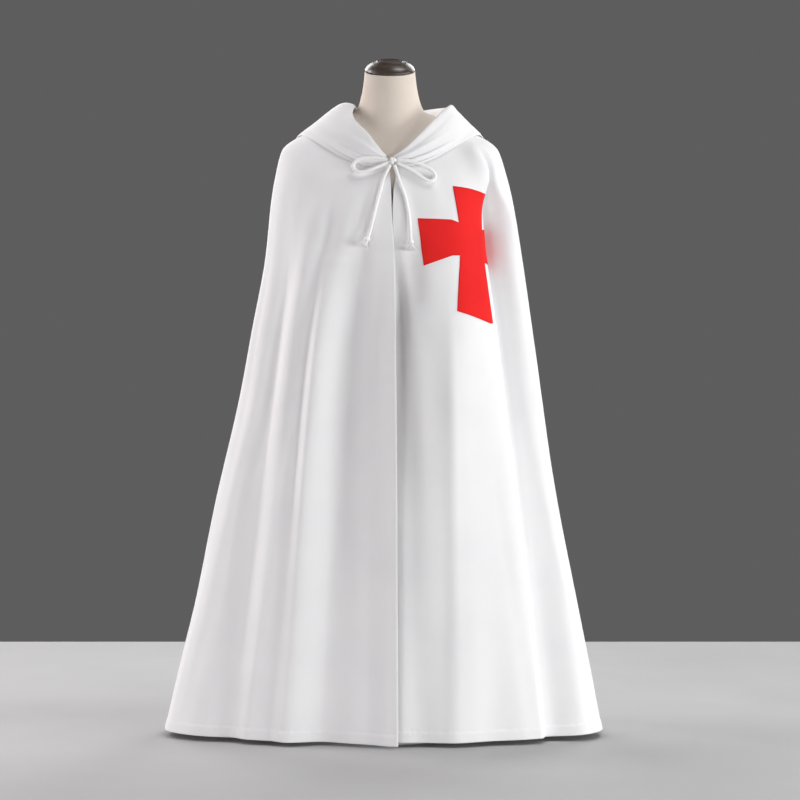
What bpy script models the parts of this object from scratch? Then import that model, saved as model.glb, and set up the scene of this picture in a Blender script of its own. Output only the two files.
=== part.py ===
"""Hooded cape with a sewn-on cross, tied at the neck, on a limbless dress form.

Metres, +Z up, floor at z = 0, front towards -Y, wearer's left towards +X.
"""
import bpy
import bmesh
import math
from collections import namedtuple
from mathutils import Matrix, Vector

# Cloth and fits
CLOTH = 0.0016
SEAM_GAP = 0.0003
HOOD_LIFT = 0.0048
CROSS_CLOTH = 0.0008
CROSS_LIFT = 0.0008

# Rings of the cape, neckline to hem: reaches from the axis and the ring's height in front, side, back
Ring = namedtuple("Ring", "left right front back mid z_front z_side z_back bend")
CAPE_RINGS = [
    Ring(.098, .098, .104, .076, .000, 1.195, 1.295, 1.298, 2.0),
    Ring(.140, .140, .119, .098, .000, 1.164, 1.278, 1.264, 2.0),
    Ring(.185, .185, .132, .117, .000, 1.127, 1.254, 1.214, 2.0),
    Ring(.208, .208, .140, .126, .000, 1.095, 1.241, 1.176, 2.0),
    Ring(.225, .225, .145, .132, .000, 1.064, 1.225, 1.14, 2.0),
    Ring(.237, .240, .148, .138, .000, 1.027, 1.182, 1.092, 2.0),
    Ring(.248, .255, .150, .144, .000, .977, 1.121, 1.034, 2.0),
    Ring(.262, .275, .151, .152, .000, .907, .997, .942, 2.0),
    Ring(.288, .295, .152, .168, .000, .822, .857, .832, 2.0),
    Ring(.315, .317, .153, .190, .000, .692, .701, .694, 2.0),
    Ring(.363, .349, .154, .224, .000, .487, .491, .489, 2.0),
    Ring(.407, .388, .155, .260, .000, .279, .281, .28, 2.0),
    Ring(.445, .419, .156, .290, .000, .125, .127, .126, 2.0),
    Ring(.471, .441, .157, .314, .000, .009, .013, .011, 2.0),
]
CAPE_SQUARE = 2.3
NECK_SQUARE = 2.0

# Centre-front edges: share of the fall, x of the wearer's right and left edge
EdgeRow = namedtuple("EdgeRow", "fall right left")
EDGE_ROWS = [
    EdgeRow(.00, -.0030, .0165),
    EdgeRow(.03, .0005, .0135),
    EdgeRow(.10, .0045, .0065),
    EdgeRow(.17, .0100, .0106),
    EdgeRow(.50, .0135, .0141),
    EdgeRow(1.0, .0175, .0181),
]
RIGHT_HEM_DROP = .004

# Folds: a line each for a crest or a hollow, with its x at the shoulder, chest and hem, how far it
# stands out of the smooth form at chest, middle and hem, the share of the fall where it starts, the
# share it takes to grow, and the columns up to the next line; the first and last are a panel's edges
Fold = namedtuple("Fold", "x_top x_chest x_hem chest middle hem start rise columns")
RIGHT_FOLDS = [
    Fold(.000, .000, .000, .008, .040, .032, .10, .14, 2),
    Fold(-.024, -.028, -.047, -.003, .012, .013, .10, .14, 3),
    Fold(-.056, -.065, -.140, -.013, -.022, -.014, .10, .14, 3),
    Fold(-.109, -.127, -.212, .005, .016, .013, .10, .14, 3),
    Fold(-.122, -.145, -.246, .000, -.002, .000, .10, .16, 2),
    Fold(-.144, -.169, -.286, .004, .000, -.002, .10, .16, 3),
    Fold(-.180, -.212, -.334, -.014, -.024, -.022, .10, .22, 3),
    Fold(-.206, -.242, -.390, -.007, -.014, -.008, .10, .22, 3),
    Fold(-9.0, -9.0, -9.0, .000, .000, .000, .10, .22, 0),
]
LEFT_FOLDS = [
    Fold(.000, .000, .000, -.004, -.025, -.014, .10, .14, 2),
    Fold(.038, .044, .050, -.002, -.008, -.006, .10, .14, 3),
    Fold(.112, .120, .130, .012, .013, .008, .07, .12, 3),
    Fold(.164, .173, .218, -.002, .007, .003, .06, .10, 3),
    Fold(.197, .206, .308, -.023, -.010, .001, .075, .085, 3),
    Fold(.205, .219, .329, -.080, -.046, -.024, .075, .085, 3),
    Fold(.2145, .257, .404, .000, .000, .008, .08, .14, 3),
    Fold(9.0, 9.0, 9.0, .000, .000, .000, .10, .14, 0),
]
BACK_FOLDS = [
    Fold(9.0, 9.0, 9.0, .000, .000, .000, .12, .24, 3),
    Fold(.178, .228, .400, -.010, -.018, -.022, .12, .24, 3),
    Fold(.145, .188, .335, .010, .016, .022, .12, .24, 3),
    Fold(.108, .142, .262, -.012, -.024, -.028, .12, .24, 3),
    Fold(.075, .098, .170, .008, .020, .027, .12, .24, 3),
    Fold(.035, .046, .092, -.010, -.020, -.024, .12, .24, 3),
    Fold(.005, .006, .014, .006, .014, .019, .12, .24, 3),
    Fold(-.038, -.050, -.072, -.012, -.026, -.030, .12, .24, 3),
    Fold(-.077, -.100, -.168, .008, .022, .029, .12, .24, 3),
    Fold(-.112, -.146, -.248, -.012, -.024, -.027, .12, .24, 3),
    Fold(-.147, -.192, -.340, .008, .015, .018, .12, .24, 3),
    Fold(-.180, -.230, -.412, -.010, -.018, -.024, .12, .24, 3),
    Fold(-9.0, -9.0, -9.0, .000, .000, .000, .12, .24, 0),
]
FOLD_ROUNDING = 1.4
LEAST_TURN = 1.6
FOLD_TOP = .12
FRONT_FOLD_FULL = .22
BACK_FOLD_FULL = .36
FOLD_MIDDLE = .50
BODY_ROWS = 22
ROW_CROWDING = 1.3

# Hood, lying down: stations round the neck, each with the cloth's way from the neck seam over the
# roll to the free edge, as shares of the cape's fall and lifts off the cape
Station = namedtuple("Station", "turn roll fall low outer edge")
HOOD_STATIONS = [
    Station(4.0, (.001, .0080), (.005, .0080), (.009, .0068), (.012, .0052), (.015, HOOD_LIFT)),
    Station(28.0, (.001, .0170), (.011, .0165), (.021, .0125), (.030, .0080), (.038, HOOD_LIFT)),
    Station(55.0, (.001, .0270), (.018, .0240), (.034, .0160), (.046, .0085), (.056, HOOD_LIFT)),
    Station(88.0, (.001, .0330), (.026, .0270), (.046, .0175), (.061, .0095), (.072, HOOD_LIFT)),
    Station(118.0, (.001, .0330), (.036, .0250), (.070, .0140), (.090, .0120), (.088, .0180)),
    Station(150.0, (.001, .0330), (.075, .0200), (.150, .0150), (.140, .0360), (.090, .0420)),
    Station(180.0, (.001, .0330), (.090, .0200), (.215, .0150), (.170, .0400), (.105, .0460)),
]
# How each half is pulled out sideways and raised, station by station, at its roll, fall and low points
Pull = namedtuple("Pull", "roll fall low")
HOOD_RIGHT_PULLS = [
    Pull((.0000, .0030), (.0000, .0017), (.000, .0005)),
    Pull((-.0035, .0210), (-.0018, .0116), (.000, .0032)),
    Pull((-.0107, .0060), (-.0054, .0033), (.000, .0009)),
    Pull((-.0398, -.0112), (-.0395, .0137), (-.010, .0000)),
    Pull((-.0335, -.0080), (-.0150, .0060), (.000, .0000)),
    Pull((.0000, .0000), (.0000, .0000), (.000, .0000)),
    Pull((.0000, .0000), (.0000, .0000), (.000, .0000)),
]
HOOD_LEFT_PULLS = [
    Pull((.0000, .0012), (.0000, .0007), (.000, .0002)),
    Pull((.0022, .0084), (.0011, .0046), (.000, .0013)),
    Pull((.0067, .0024), (.0034, .0013), (.000, .0004)),
    Pull((.0155, -.0075), (.0015, -.0010), (.000, .0000)),
    Pull((.0085, -.0040), (.0020, .0000), (.000, .0000)),
    Pull((.0000, .0000), (.0000, .0000), (.000, .0000)),
    Pull((.0000, .0000), (.0000, .0000), (.000, .0000)),
]
SEAM_SHARE = .007
SEAM_LIFT = .0030
STATION_COLUMNS = 4
WAY_ROWS = 4

# Flared cross, on cloth lengths: centre, lean going down, droop across, more of it down the lower arm,
# droop of the inner tip, half widths, arm lengths
CROSS_AT_X = .166
CROSS_AT_Z = 1.022
CROSS_LEAN = .10
CROSS_DROOP = .18
CROSS_SLANT = .20
CROSS_TIP_DROOP = .16
CROSS_ROOT = .034
CROSS_FLARE = .050
CROSS_UP = .112
CROSS_DOWN = .160
CROSS_SIDE = .119

# Neck tie of round cord: route points, and how far the cord's middle lies out of the cape's front
CORD = .0070
RoutePoint = namedtuple("RoutePoint", "x z out")
KNOT_AT = RoutePoint(.0055, 1.1880, .0134)
KNOT_RADIUS = .0095
LOOP_RIGHT = [
    RoutePoint(-.0044, 1.1915, .0147),
    RoutePoint(-.030, 1.1955, .0170),
    RoutePoint(-.058, 1.1910, .0160),
    RoutePoint(-.0745, 1.1790, .0115),
    RoutePoint(-.063, 1.1680, .0082),
    RoutePoint(-.033, 1.1722, .0105),
    RoutePoint(-.0044, 1.1839, .0120),
]
LOOP_LEFT = [
    RoutePoint(.0160, 1.1915, .0147),
    RoutePoint(.042, 1.1872, .0156),
    RoutePoint(.074, 1.1757, .0108),
    RoutePoint(.0915, 1.1605, .0070),
    RoutePoint(.0770, 1.1508, .0060),
    RoutePoint(.049, 1.1672, .0083),
    RoutePoint(.0158, 1.1839, .0120),
]
TAIL_RIGHT = [
    RoutePoint(.0010, 1.1798, .0124),
    RoutePoint(-.0120, 1.1520, .0066),
    RoutePoint(-.0230, 1.1120, .0046),
    RoutePoint(-.0330, 1.0700, .0066),
    RoutePoint(-.0425, 1.0310, .0101),
]
TAIL_LEFT = [
    RoutePoint(.0100, 1.1798, .0124),
    RoutePoint(.0195, 1.1480, .0066),
    RoutePoint(.0325, 1.1100, .0046),
    RoutePoint(.0400, 1.0680, .0066),
    RoutePoint(.0425, 1.0290, .0101),
]
TAIL_END = [(.0000, .0000), (.0052, -.0009), (.0078, -.0057), (.0063, -.0109),
            (.0058, -.0126), (.0086, -.0190), (.0098, -.0240), (.0000, -.0250)]

# Dress form: neck and torso rings, turned cap, pole, base
FORM_SEAT = .0018
FORM_SEAT_ROWS = 2
FORM_TOP_RINGS = [
    Ring(.0525, .0525, .0525, .0525, -.018, 1.3695, 1.3875, 1.4055, 1.0),
    Ring(.0560, .0560, .0560, .0550, -.015, 1.342, 1.357, 1.372, 1.0),
    Ring(.0612, .0612, .0610, .0600, -.010, 1.305, 1.332, 1.343, 1.5),
    Ring(.0715, .0715, .0720, .0640, -.004, 1.250, 1.3075, 1.314, 2.0),
]
FORM_LOW_RINGS = [
    Ring(.174, .174, .128, .110, .000, 1.072, 1.196, 1.142, 2.0),
    Ring(.156, .156, .130, .108, .000, 1.012, 1.112, 1.072, 2.0),
    Ring(.148, .148, .124, .104, .000, .967, 1.022, 1.002, 2.0),
    Ring(.130, .130, .104, .088, .000, .897, .912, .902, 2.0),
    Ring(.152, .152, .112, .108, .000, .792, .792, .792, 2.0),
    Ring(.172, .172, .116, .124, .000, .692, .692, .692, 2.0),
    Ring(.168, .168, .112, .120, .000, .612, .612, .612, 2.0),
]
FORM_COLUMNS = 40
FORM_ROWS_PER_RING = 2
NECK_TILT = 18.93
CAP_PROFILE = [(.0000, .0212), (.0180, .0212), (.0225, .0230), (.0262, .0235), (.0300, .0212),
               (.0420, .0157), (.0495, .0091), (.0525, .0030), (.0515, .0000), (.0000, .0000)]
TURN_STEPS = 32
BASE_RADIUS = .135
BASE_HEIGHT = .006
BASE_EDGE = .002
POLE_RADIUS = .0125

COLOURS = {
    "cloth_white": (.86, .86, .85, 1.0),
    "cross_red": (.66, .02, .03, 1.0),
    "cord_white": (.88, .88, .86, 1.0),
    "form_linen": (.66, .58, .48, 1.0),
    "cap_wood": (.06, .04, .03, 1.0),
    "stand_metal": (.62, .62, .60, 1.0),
}


def clear_scene():
    for item in list(bpy.data.objects):
        bpy.data.objects.remove(item, do_unlink=True)


def hermite(knots, values, at):
    """Smooth curve through one value per knot, without overshoot between knots."""
    last = len(knots) - 1
    if at <= knots[0]:
        return values[0]
    if at >= knots[last]:
        return values[last]
    i = 0
    while at > knots[i + 1]:
        i += 1

    def chord(k):
        return (values[k + 1] - values[k]) / (knots[k + 1] - knots[k])

    def slope(k):
        if k == 0:
            return chord(0)
        if k == last:
            return chord(last - 1)
        before, after = chord(k - 1), chord(k)
        if before * after <= 0.0:
            return 0.0
        return 2.0 * before * after / (before + after)

    step = knots[i + 1] - knots[i]
    t = (at - knots[i]) / step
    rise = (values[i + 1] - values[i])
    a, b = slope(i) * step, slope(i + 1) * step
    return values[i] + t * (a + t * (3 * rise - 2 * a - b + t * (a + b - 2 * rise)))


def ease(start, end, at):
    t = min(1.0, max(0.0, (at - start) / (end - start)))
    return t * t * (3.0 - 2.0 * t)


def ring_knots(rings):
    """Share of the way down at each ring, along the side."""
    way = [0.0]
    for upper, lower in zip(rings, rings[1:]):
        step = math.hypot(lower.right - upper.right, lower.z_side - upper.z_side)
        way.append(way[-1] + step)
    return [w / way[-1] for w in way]


def ring_at(rings, knots, share):
    return Ring(*(hermite(knots, [r[k] for r in rings], share) for k in range(len(rings[0]))))


def ring_point(ring, turn, square):
    """Point of a ring; turn 0 is the front, 90 the wearer's left, 180 the back."""
    s, c = math.sin(math.radians(turn)), math.cos(math.radians(turn))
    power = 2.0 / square
    half = ring.right if s < 0.0 else ring.left
    reach = ring.front if c > 0.0 else ring.back
    x = math.copysign(abs(s) ** power, s) * half
    y = ring.mid - math.copysign(abs(c) ** power, c) * reach
    z_end = ring.z_front if c > 0.0 else ring.z_back
    z = ring.z_side + (z_end - ring.z_side) * abs(c) ** ring.bend
    return Vector((x, y, z))


# The ring table names left and right as seen from the front; from here on they are the wearer's
CAPE_RINGS = [r._replace(left=r.right, right=r.left) for r in CAPE_RINGS]
CAPE_KNOTS = ring_knots(CAPE_RINGS)


def cape_smooth(turn, fall):
    square = NECK_SQUARE + (CAPE_SQUARE - NECK_SQUARE) * ease(.05, .3, fall)
    return ring_point(ring_at(CAPE_RINGS, CAPE_KNOTS, fall), turn, square)


def cape_normal(turn, fall):
    low, high = max(0.0, fall - .004), min(1.0, fall + .004)
    down = cape_smooth(turn, high) - cape_smooth(turn, low)
    around = cape_smooth(turn + .8, fall) - cape_smooth(turn - .8, fall)
    return around.cross(down).normalized() * -1.0


def cape_lifted(turn, fall, lift):
    return cape_smooth(turn, fall) + cape_normal(turn, fall) * lift


def turn_of_x(x, fall, behind):
    """Turn on a ring that reaches a given x."""
    square = NECK_SQUARE + (CAPE_SQUARE - NECK_SQUARE) * ease(.05, .3, fall)
    ring = ring_at(CAPE_RINGS, CAPE_KNOTS, fall)
    half = ring.right if x < 0.0 else ring.left
    turn = math.degrees(math.asin(min(1.0, abs(x) / half) ** (square / 2.0)))
    if behind:
        turn = 180.0 - turn
    return math.copysign(turn, x)


def fold_lines(folds, fall, behind, edge):
    """Turn and stand-out of each fold line on one ring."""
    chest_at = BACK_FOLD_FULL if behind else FRONT_FOLD_FULL
    along = max(0.0, (fall - chest_at) / (1.0 - chest_at))
    lines = []
    for fold in folds:
        x = fold.x_chest + (fold.x_hem - fold.x_chest) * along
        x += (fold.x_top - fold.x_chest) * (1.0 - ease(FOLD_TOP, chest_at, fall))
        out = hermite([0.0, (FOLD_MIDDLE - chest_at) / (1.0 - chest_at), 1.0],
                      [fold.chest, fold.middle, fold.hem], along)
        ramp = ease(fold.start, fold.start + fold.rise, fall)
        turn = turn_of_x(x, max(fall, FOLD_TOP), behind)
        if fold.x_hem == 0.0:
            turn = turn_of_x(edge, fall, behind)
        if behind and turn < 0.0:
            turn += 360.0
        if lines and not behind:
            way = math.copysign(1.0, fold.x_hem)
            turn = way * max(way * turn, way * lines[-1][0] + LEAST_TURN)
        lines.append((turn, out * ramp))
    return lines


def stand_out(lines, turn):
    """Straight runs between fold lines, with rounded crests and hollows."""
    total = 0.0
    for k in range(-3, 4):
        at = turn + k * FOLD_ROUNDING / 3.0
        nearest = sorted(lines)
        value = nearest[0][1] if at < nearest[0][0] else nearest[-1][1]
        for (t0, a), (t1, b) in zip(nearest, nearest[1:]):
            if t0 <= at <= t1 and t1 > t0:
                value = a + (b - a) * (at - t0) / (t1 - t0)
        total += value
    return total / 7.0


def edge_x(fall, wearers_left):
    values = [r.left if wearers_left else r.right for r in EDGE_ROWS]
    return hermite([r.fall for r in EDGE_ROWS], values, fall)


def body_grid(folds, behind, wearers_left, rows, finer=1):
    """Points of one cape panel, row by row from the neckline to the hem."""
    trim = math.degrees(SEAM_GAP * .7 / .3)
    grid = []
    for j in range(rows + 1):
        fall = (j / rows) ** ROW_CROWDING
        edge = edge_x(fall, wearers_left)
        lines = fold_lines(folds, fall, behind, edge)
        row = []
        for i in range(len(lines) - 1):
            steps = folds[i].columns * finer
            for k in range(steps + (1 if i == len(lines) - 2 else 0)):
                turn = lines[i][0] + (lines[i + 1][0] - lines[i][0]) * k / steps
                turn = trimmed(turn, behind, trim)
                point = cape_lifted(turn, fall, stand_out(lines, turn))
                if not behind and not wearers_left:
                    near = max(0.0, 1.0 - abs(turn) / 45.0)
                    point.z -= RIGHT_HEM_DROP * near * near * fall ** 3
                row.append(point)
        grid.append(row)
    return grid


def trimmed(turn, behind, trim):
    if behind:
        return min(270.0 - trim, max(90.0 + trim, turn))
    return min(90.0 - trim, max(-90.0 + trim, turn))


def material(slot):
    found = bpy.data.materials.get(slot)
    if found is None:
        found = bpy.data.materials.new(slot)
        found.use_nodes = True
        shader = found.node_tree.nodes["Principled BSDF"]
        shader.inputs["Base Color"].default_value = COLOURS[slot]
        shader.inputs["Roughness"].default_value = .8
    return found


def add_object(name, data, slot):
    item = bpy.data.objects.new(name, data)
    PARTS.objects.link(item)
    data.materials.append(material(slot))
    return item


def sheet(name, grid, thickness, side, slot):
    """Wall of cloth: a grid primitive bent through the points, thickened to one side."""
    rows, columns = len(grid), len(grid[0])
    bm = bmesh.new()
    bmesh.ops.create_grid(bm, x_segments=columns - 1, y_segments=rows - 1, size=1.0)
    corner = {}
    for vert in bm.verts:
        i = round((vert.co.x + 1.0) / 2.0 * (columns - 1))
        j = round((vert.co.y + 1.0) / 2.0 * (rows - 1))
        vert.co = grid[j][i]
        corner[j, i] = vert
    for j in range(rows - 1):
        for i in range(columns - 1):
            bmesh.ops.connect_verts(bm, verts=[corner[j, i], corner[j + 1, i + 1]])
    return wall(name, bm, thickness, side, slot)


def wall(name, bm, thickness, side, slot):
    """Solidify an open surface on the side that points away from the axis."""
    bm.normal_update()
    outward = sum(f.normal.dot(Vector((f.calc_center_median().x, f.calc_center_median().y, .1)))
                  * f.calc_area() for f in bm.faces)
    if outward < 0.0:
        bmesh.ops.reverse_faces(bm, faces=bm.faces)
    data = bpy.data.meshes.new(name)
    bm.to_mesh(data)
    bm.free()
    item = add_object(name, data, slot)
    solid = item.modifiers.new("cloth", "SOLIDIFY")
    solid.thickness = thickness
    solid.offset = side
    solid.use_even_offset = slot == "cloth_white"
    return item


def spline_point(points, at):
    """Smooth route through points; at runs from 0 to the number of points less one."""
    last = len(points) - 1
    i = min(last - 1, int(at))
    t = at - i
    a, b = points[i], points[i + 1]
    before = points[i - 1] if i > 0 else a * 2.0 - b
    after = points[i + 2] if i + 2 <= last else b * 2.0 - a
    m0, m1 = (b - before) * .5, (after - a) * .5
    t2, t3 = t * t, t * t * t
    return a * (2 * t3 - 3 * t2 + 1) + m0 * (t3 - 2 * t2 + t) + b * (3 * t2 - 2 * t3) + m1 * (t3 - t2)


def hood_grid(wearers_left):
    """Points of one hood half: columns round the neck, rows from the neck seam to the free edge."""
    pulls = HOOD_LEFT_PULLS if wearers_left else HOOD_RIGHT_PULLS
    sign = 1.0 if wearers_left else -1.0
    net = []
    for station, pull in zip(HOOD_STATIONS, pulls):
        ways = [(SEAM_SHARE, SEAM_LIFT), station.roll, station.fall, station.low, station.outer, station.edge]
        shifts = [(0.0, 0.0), pull.roll, pull.fall, pull.low, (0.0, 0.0), (0.0, 0.0)]
        net.append([Vector((station.turn, *way, *shift)) for way, shift in zip(ways, shifts)])
    behind = [Vector((360.0 - p[0], *p[1:])) for p in net[-2]]
    net.append(behind)
    grid = []
    for j in range((len(net[0]) - 1) * WAY_ROWS + 1):
        across = [spline_point(points, j / WAY_ROWS) for points in net]
        row = []
        for k in range((len(across) - 2) * STATION_COLUMNS + 1):
            turn, fall, lift, shift, rise = spline_point(across, k / STATION_COLUMNS)
            point = cape_lifted(sign * turn, max(0.0, fall), lift)
            point.x += sign * shift
            point.z += rise
            row.append(point)
        row[-1].x = sign * SEAM_GAP * 1.6
        grid.append(row)
    return grid


def clip(polygon, inside):
    """Cut a polygon of (s, t, point) corners at a line; inside is positive where it stays."""
    kept = []
    for a, b in zip(polygon, polygon[1:] + polygon[:1]):
        da, db = inside(a), inside(b)
        if da >= 0.0:
            kept.append(a)
        if (da >= 0.0) != (db >= 0.0):
            f = da / (da - db)
            kept.append((a[0] + (b[0] - a[0]) * f, a[1] + (b[1] - a[1]) * f, a[2].lerp(b[2], f)))
    return kept


def cross_parts():
    """Convex parts of the cross: the middle and four flared arms, as lists of corners."""
    r, w = CROSS_ROOT, CROSS_FLARE
    return [
        [(-r, -r), (r, -r), (r, r), (-r, r)],
        [(-r, r), (r, r), (w, CROSS_UP), (-w, CROSS_UP)],
        [(-w, -CROSS_DOWN), (w, -CROSS_DOWN), (r, -r), (-r, -r)],
        [(r, -r), (CROSS_SIDE, -w), (CROSS_SIDE, w), (r, r)],
        [(-CROSS_SIDE, -w), (-r, -r), (-r, r), (-CROSS_SIDE, w)],
    ]


def level_way(column):
    """Cloth length of each point of a column below the height of the cross's middle."""
    way = [0.0]
    for a, b in zip(column, column[1:]):
        way.append(way[-1] + (b - a).length)
    for k, (a, b) in enumerate(zip(column, column[1:])):
        if a.z >= CROSS_AT_Z > b.z:
            zero = way[k] + (b - a).length * (a.z - CROSS_AT_Z) / (a.z - b.z)
    return [w - zero for w in way]


def cloth_lengths(grid):
    """Cloth coordinates of each point of a panel, from the cross's upright middle line."""
    falls = [level_way(column) for column in zip(*grid)]
    table = []
    for j, row in enumerate(grid):
        across = [0.0]
        for a, b in zip(row, row[1:]):
            across.append(across[-1] + math.hypot(b.x - a.x, b.y - a.y))
        past = [p.x - CROSS_AT_X - CROSS_LEAN * max(0.0, CROSS_AT_Z + CROSS_ROOT - p.z) for p in row]
        start = next((k for k in range(len(row) - 1) if past[k] <= 0.0 < past[k + 1]), len(row) - 2)
        step = max(.0001, past[start + 1] - past[start])
        zero = across[start] - past[start] * (across[start + 1] - across[start]) / step
        line = []
        for i in range(len(row)):
            side = across[i] - zero
            low = max(0.0, falls[i][j] - CROSS_ROOT) / (CROSS_DOWN - CROSS_ROOT)
            droop = (CROSS_DROOP + CROSS_SLANT * low) * min(CROSS_ROOT, max(side, -CROSS_FLARE))
            droop += CROSS_TIP_DROOP * max(0.0, -CROSS_FLARE - side)
            line.append((side, droop - falls[i][j]))
        table.append(line)
    return table


def build_cross(grid):
    """Cross cut out of the panel's own facets, moved out of its wall."""
    lengths = cloth_lengths(grid)
    outward = surface_normals(grid)
    bm = bmesh.new()
    lift = CLOTH + CROSS_LIFT
    for part in cross_parts():
        for j in range(len(grid) - 1):
            for i in range(len(grid[0]) - 1):
                for last in ((j + 1, i), (j, i + 1)):
                    corners = [(j, i), (j + 1, i + 1), last]
                    piece = [(*lengths[b][a], grid[b][a] + outward[b][a] * lift) for b, a in corners]
                    for p, q in zip(part, part[1:] + part[:1]):
                        piece = clip(piece, lambda k, p=p, q=q: (q[0] - p[0]) * (k[1] - p[1])
                                     - (q[1] - p[1]) * (k[0] - p[0]))
                    if len(piece) > 2:
                        bm.faces.new([bm.verts.new(k[2]) for k in piece])
    bmesh.ops.remove_doubles(bm, verts=bm.verts, dist=.0001)
    bmesh.ops.dissolve_degenerate(bm, dist=.0001, edges=bm.edges)
    bmesh.ops.recalc_face_normals(bm, faces=bm.faces)
    return wall("cross", bm, CROSS_CLOTH, 1.0, "cross_red")


def surface_normals(grid):
    """Way out of a panel at each point, long enough in hollows to clear both sides of the hollow."""
    rows, columns = len(grid), len(grid[0])
    normals = []
    for j in range(rows):
        line = []
        for i in range(columns):
            down = grid[min(rows - 1, j + 1)][i] - grid[max(0, j - 1)][i]
            before = down.cross(grid[j][max(1, i)] - grid[j][max(0, i - 1)]).normalized()
            after = down.cross(grid[j][min(columns - 1, i + 1)] - grid[j][min(columns - 2, i)]).normalized()
            line.append((before + after) / max(.3, 1.0 + before.dot(after)))
        normals.append(line)
    return normals


def front_depth(x, z, grids):
    """Depth of the cape's front at a place, read from the panels' rows; between the panels, of the nearer edge."""
    grid = grids[1] if x > KNOT_AT.x else grids[0]
    found = []
    for row in grid:
        at = row[0]
        for a, b in zip(row, row[1:]):
            if min(a.x, b.x) <= x < max(a.x, b.x) and a.y < 0.0:
                at = a.lerp(b, (x - a.x) / (b.x - a.x))
                break
        found.append(at)
    for high, low in zip(found, found[1:]):
        if low.z <= z <= high.z:
            return low.y + (high.y - low.y) * (z - low.z) / (high.z - low.z)
    return found[0].y


def route_points(route, grids):
    return [Vector((p.x, front_depth(p.x, p.z, grids) - CLOTH - p.out, p.z)) for p in route]


def tube(name, points, diameter):
    """Round cord through route points, with filled ends."""
    length = sum((b - a).length for a, b in zip(points, points[1:]))
    count = max(6, round(length / (diameter * 2.0)))
    data = bpy.data.curves.new(name, "CURVE")
    data.dimensions = "3D"
    data.bevel_depth = diameter / 2.0
    data.bevel_resolution = 2
    data.use_fill_caps = True
    spline = data.splines.new("POLY")
    spline.points.add(count)
    for k in range(count + 1):
        at = spline_point(points, (len(points) - 1) * k / count)
        spline.points[k].co = (at.x, at.y, at.z, 1.0)
    return add_object(name, data, "cord_white")


def turned(name, profile, steps, slot, place):
    """Solid turned from a profile of (radius, height)."""
    data = bpy.data.meshes.new(name)
    data.from_pydata([(r, 0.0, z) for r, z in profile], [(k, k + 1) for k in range(len(profile) - 1)], [])
    item = add_object(name, data, slot)
    item.matrix_world = place
    screw = item.modifiers.new("turn", "SCREW")
    screw.steps = steps
    screw.render_steps = steps
    screw.use_merge_vertices = True
    screw.merge_threshold = .00005
    return item


def pointing(at, direction):
    turn = Vector((0.0, 0.0, -1.0)).rotation_difference(direction.normalized())
    return Matrix.Translation(at) @ turn.to_matrix().to_4x4()


def build_tie(grids):
    knot = route_points([KNOT_AT], grids)[0]
    data = bpy.data.meshes.new("tie_knot")
    bm = bmesh.new()
    bmesh.ops.create_uvsphere(bm, u_segments=14, v_segments=9, radius=KNOT_RADIUS)
    bmesh.ops.scale(bm, vec=(1.0, .82, .9), verts=bm.verts)
    bmesh.ops.translate(bm, vec=knot, verts=bm.verts)
    bm.to_mesh(data)
    bm.free()
    add_object("tie_knot", data, "cord_white")
    tube("tie_loop_right", route_points(LOOP_RIGHT, grids), CORD)
    tube("tie_loop_left", route_points(LOOP_LEFT, grids), CORD)
    for side, route in (("right", TAIL_RIGHT), ("left", TAIL_LEFT)):
        points = route_points(route, grids)
        tube("tie_tail_" + side, points, CORD)
        way = (points[-1] - points[-2]).normalized()
        turned("tail_knot_" + side, TAIL_END, 14, "cord_white", pointing(points[-1] + way * SEAM_GAP, way))


def ring_rows(rings, steps, square):
    """Rows of points through rings, without the last ring's row."""
    knots = ring_knots(rings)
    rows = []
    for i in range(len(rings) - 1):
        for k in range(steps):
            ring = ring_at(rings, knots, knots[i] + (knots[i + 1] - knots[i]) * k / steps)
            rows.append([ring_point(ring, 360.0 * n / FORM_COLUMNS, square) for n in range(FORM_COLUMNS)])
    return rows


def form_rows():
    """Neck, shoulders read from the cape that rests on them, and torso."""
    seated = []
    for k in range(FORM_SEAT_ROWS + 1):
        fall = (k / BODY_ROWS) ** ROW_CROWDING
        seated.append([cape_lifted(360.0 * n / FORM_COLUMNS, fall, -FORM_SEAT) for n in range(FORM_COLUMNS)])
    first = ring_at(CAPE_RINGS, CAPE_KNOTS, 0.0)
    last = ring_at(CAPE_RINGS, CAPE_KNOTS, fall)
    neck = ring_rows(FORM_TOP_RINGS + [first], FORM_ROWS_PER_RING, 2.0)
    torso = ring_rows([last] + FORM_LOW_RINGS, FORM_ROWS_PER_RING, 2.0)[1:]
    bottom = [ring_point(FORM_LOW_RINGS[-1], 360.0 * n / FORM_COLUMNS, 2.0) for n in range(FORM_COLUMNS)]
    return neck + seated + torso + [bottom]


def build_form():
    bm = bmesh.new()
    loops = [[bm.verts.new(point) for point in row] for row in form_rows()]
    for upper, lower in zip(loops, loops[1:]):
        for n in range(FORM_COLUMNS):
            m = (n + 1) % FORM_COLUMNS
            bm.faces.new((upper[n], lower[n], lower[m], upper[m]))
    bm.faces.new(loops[0])
    bm.faces.new(loops[-1])
    bmesh.ops.recalc_face_normals(bm, faces=bm.faces)
    data = bpy.data.meshes.new("form_torso")
    bm.to_mesh(data)
    bm.free()
    add_object("form_torso", data, "form_linen")
    top = FORM_TOP_RINGS[0]
    tilt = Matrix.Rotation(math.radians(NECK_TILT), 4, "X")
    lift = tilt @ Vector((0.0, 0.0, SEAM_GAP))
    place = Matrix.Translation(Vector((0.0, top.mid, top.z_side)) + lift) @ tilt
    turned("form_cap", CAP_PROFILE, TURN_STEPS, "cap_wood", place)


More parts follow.
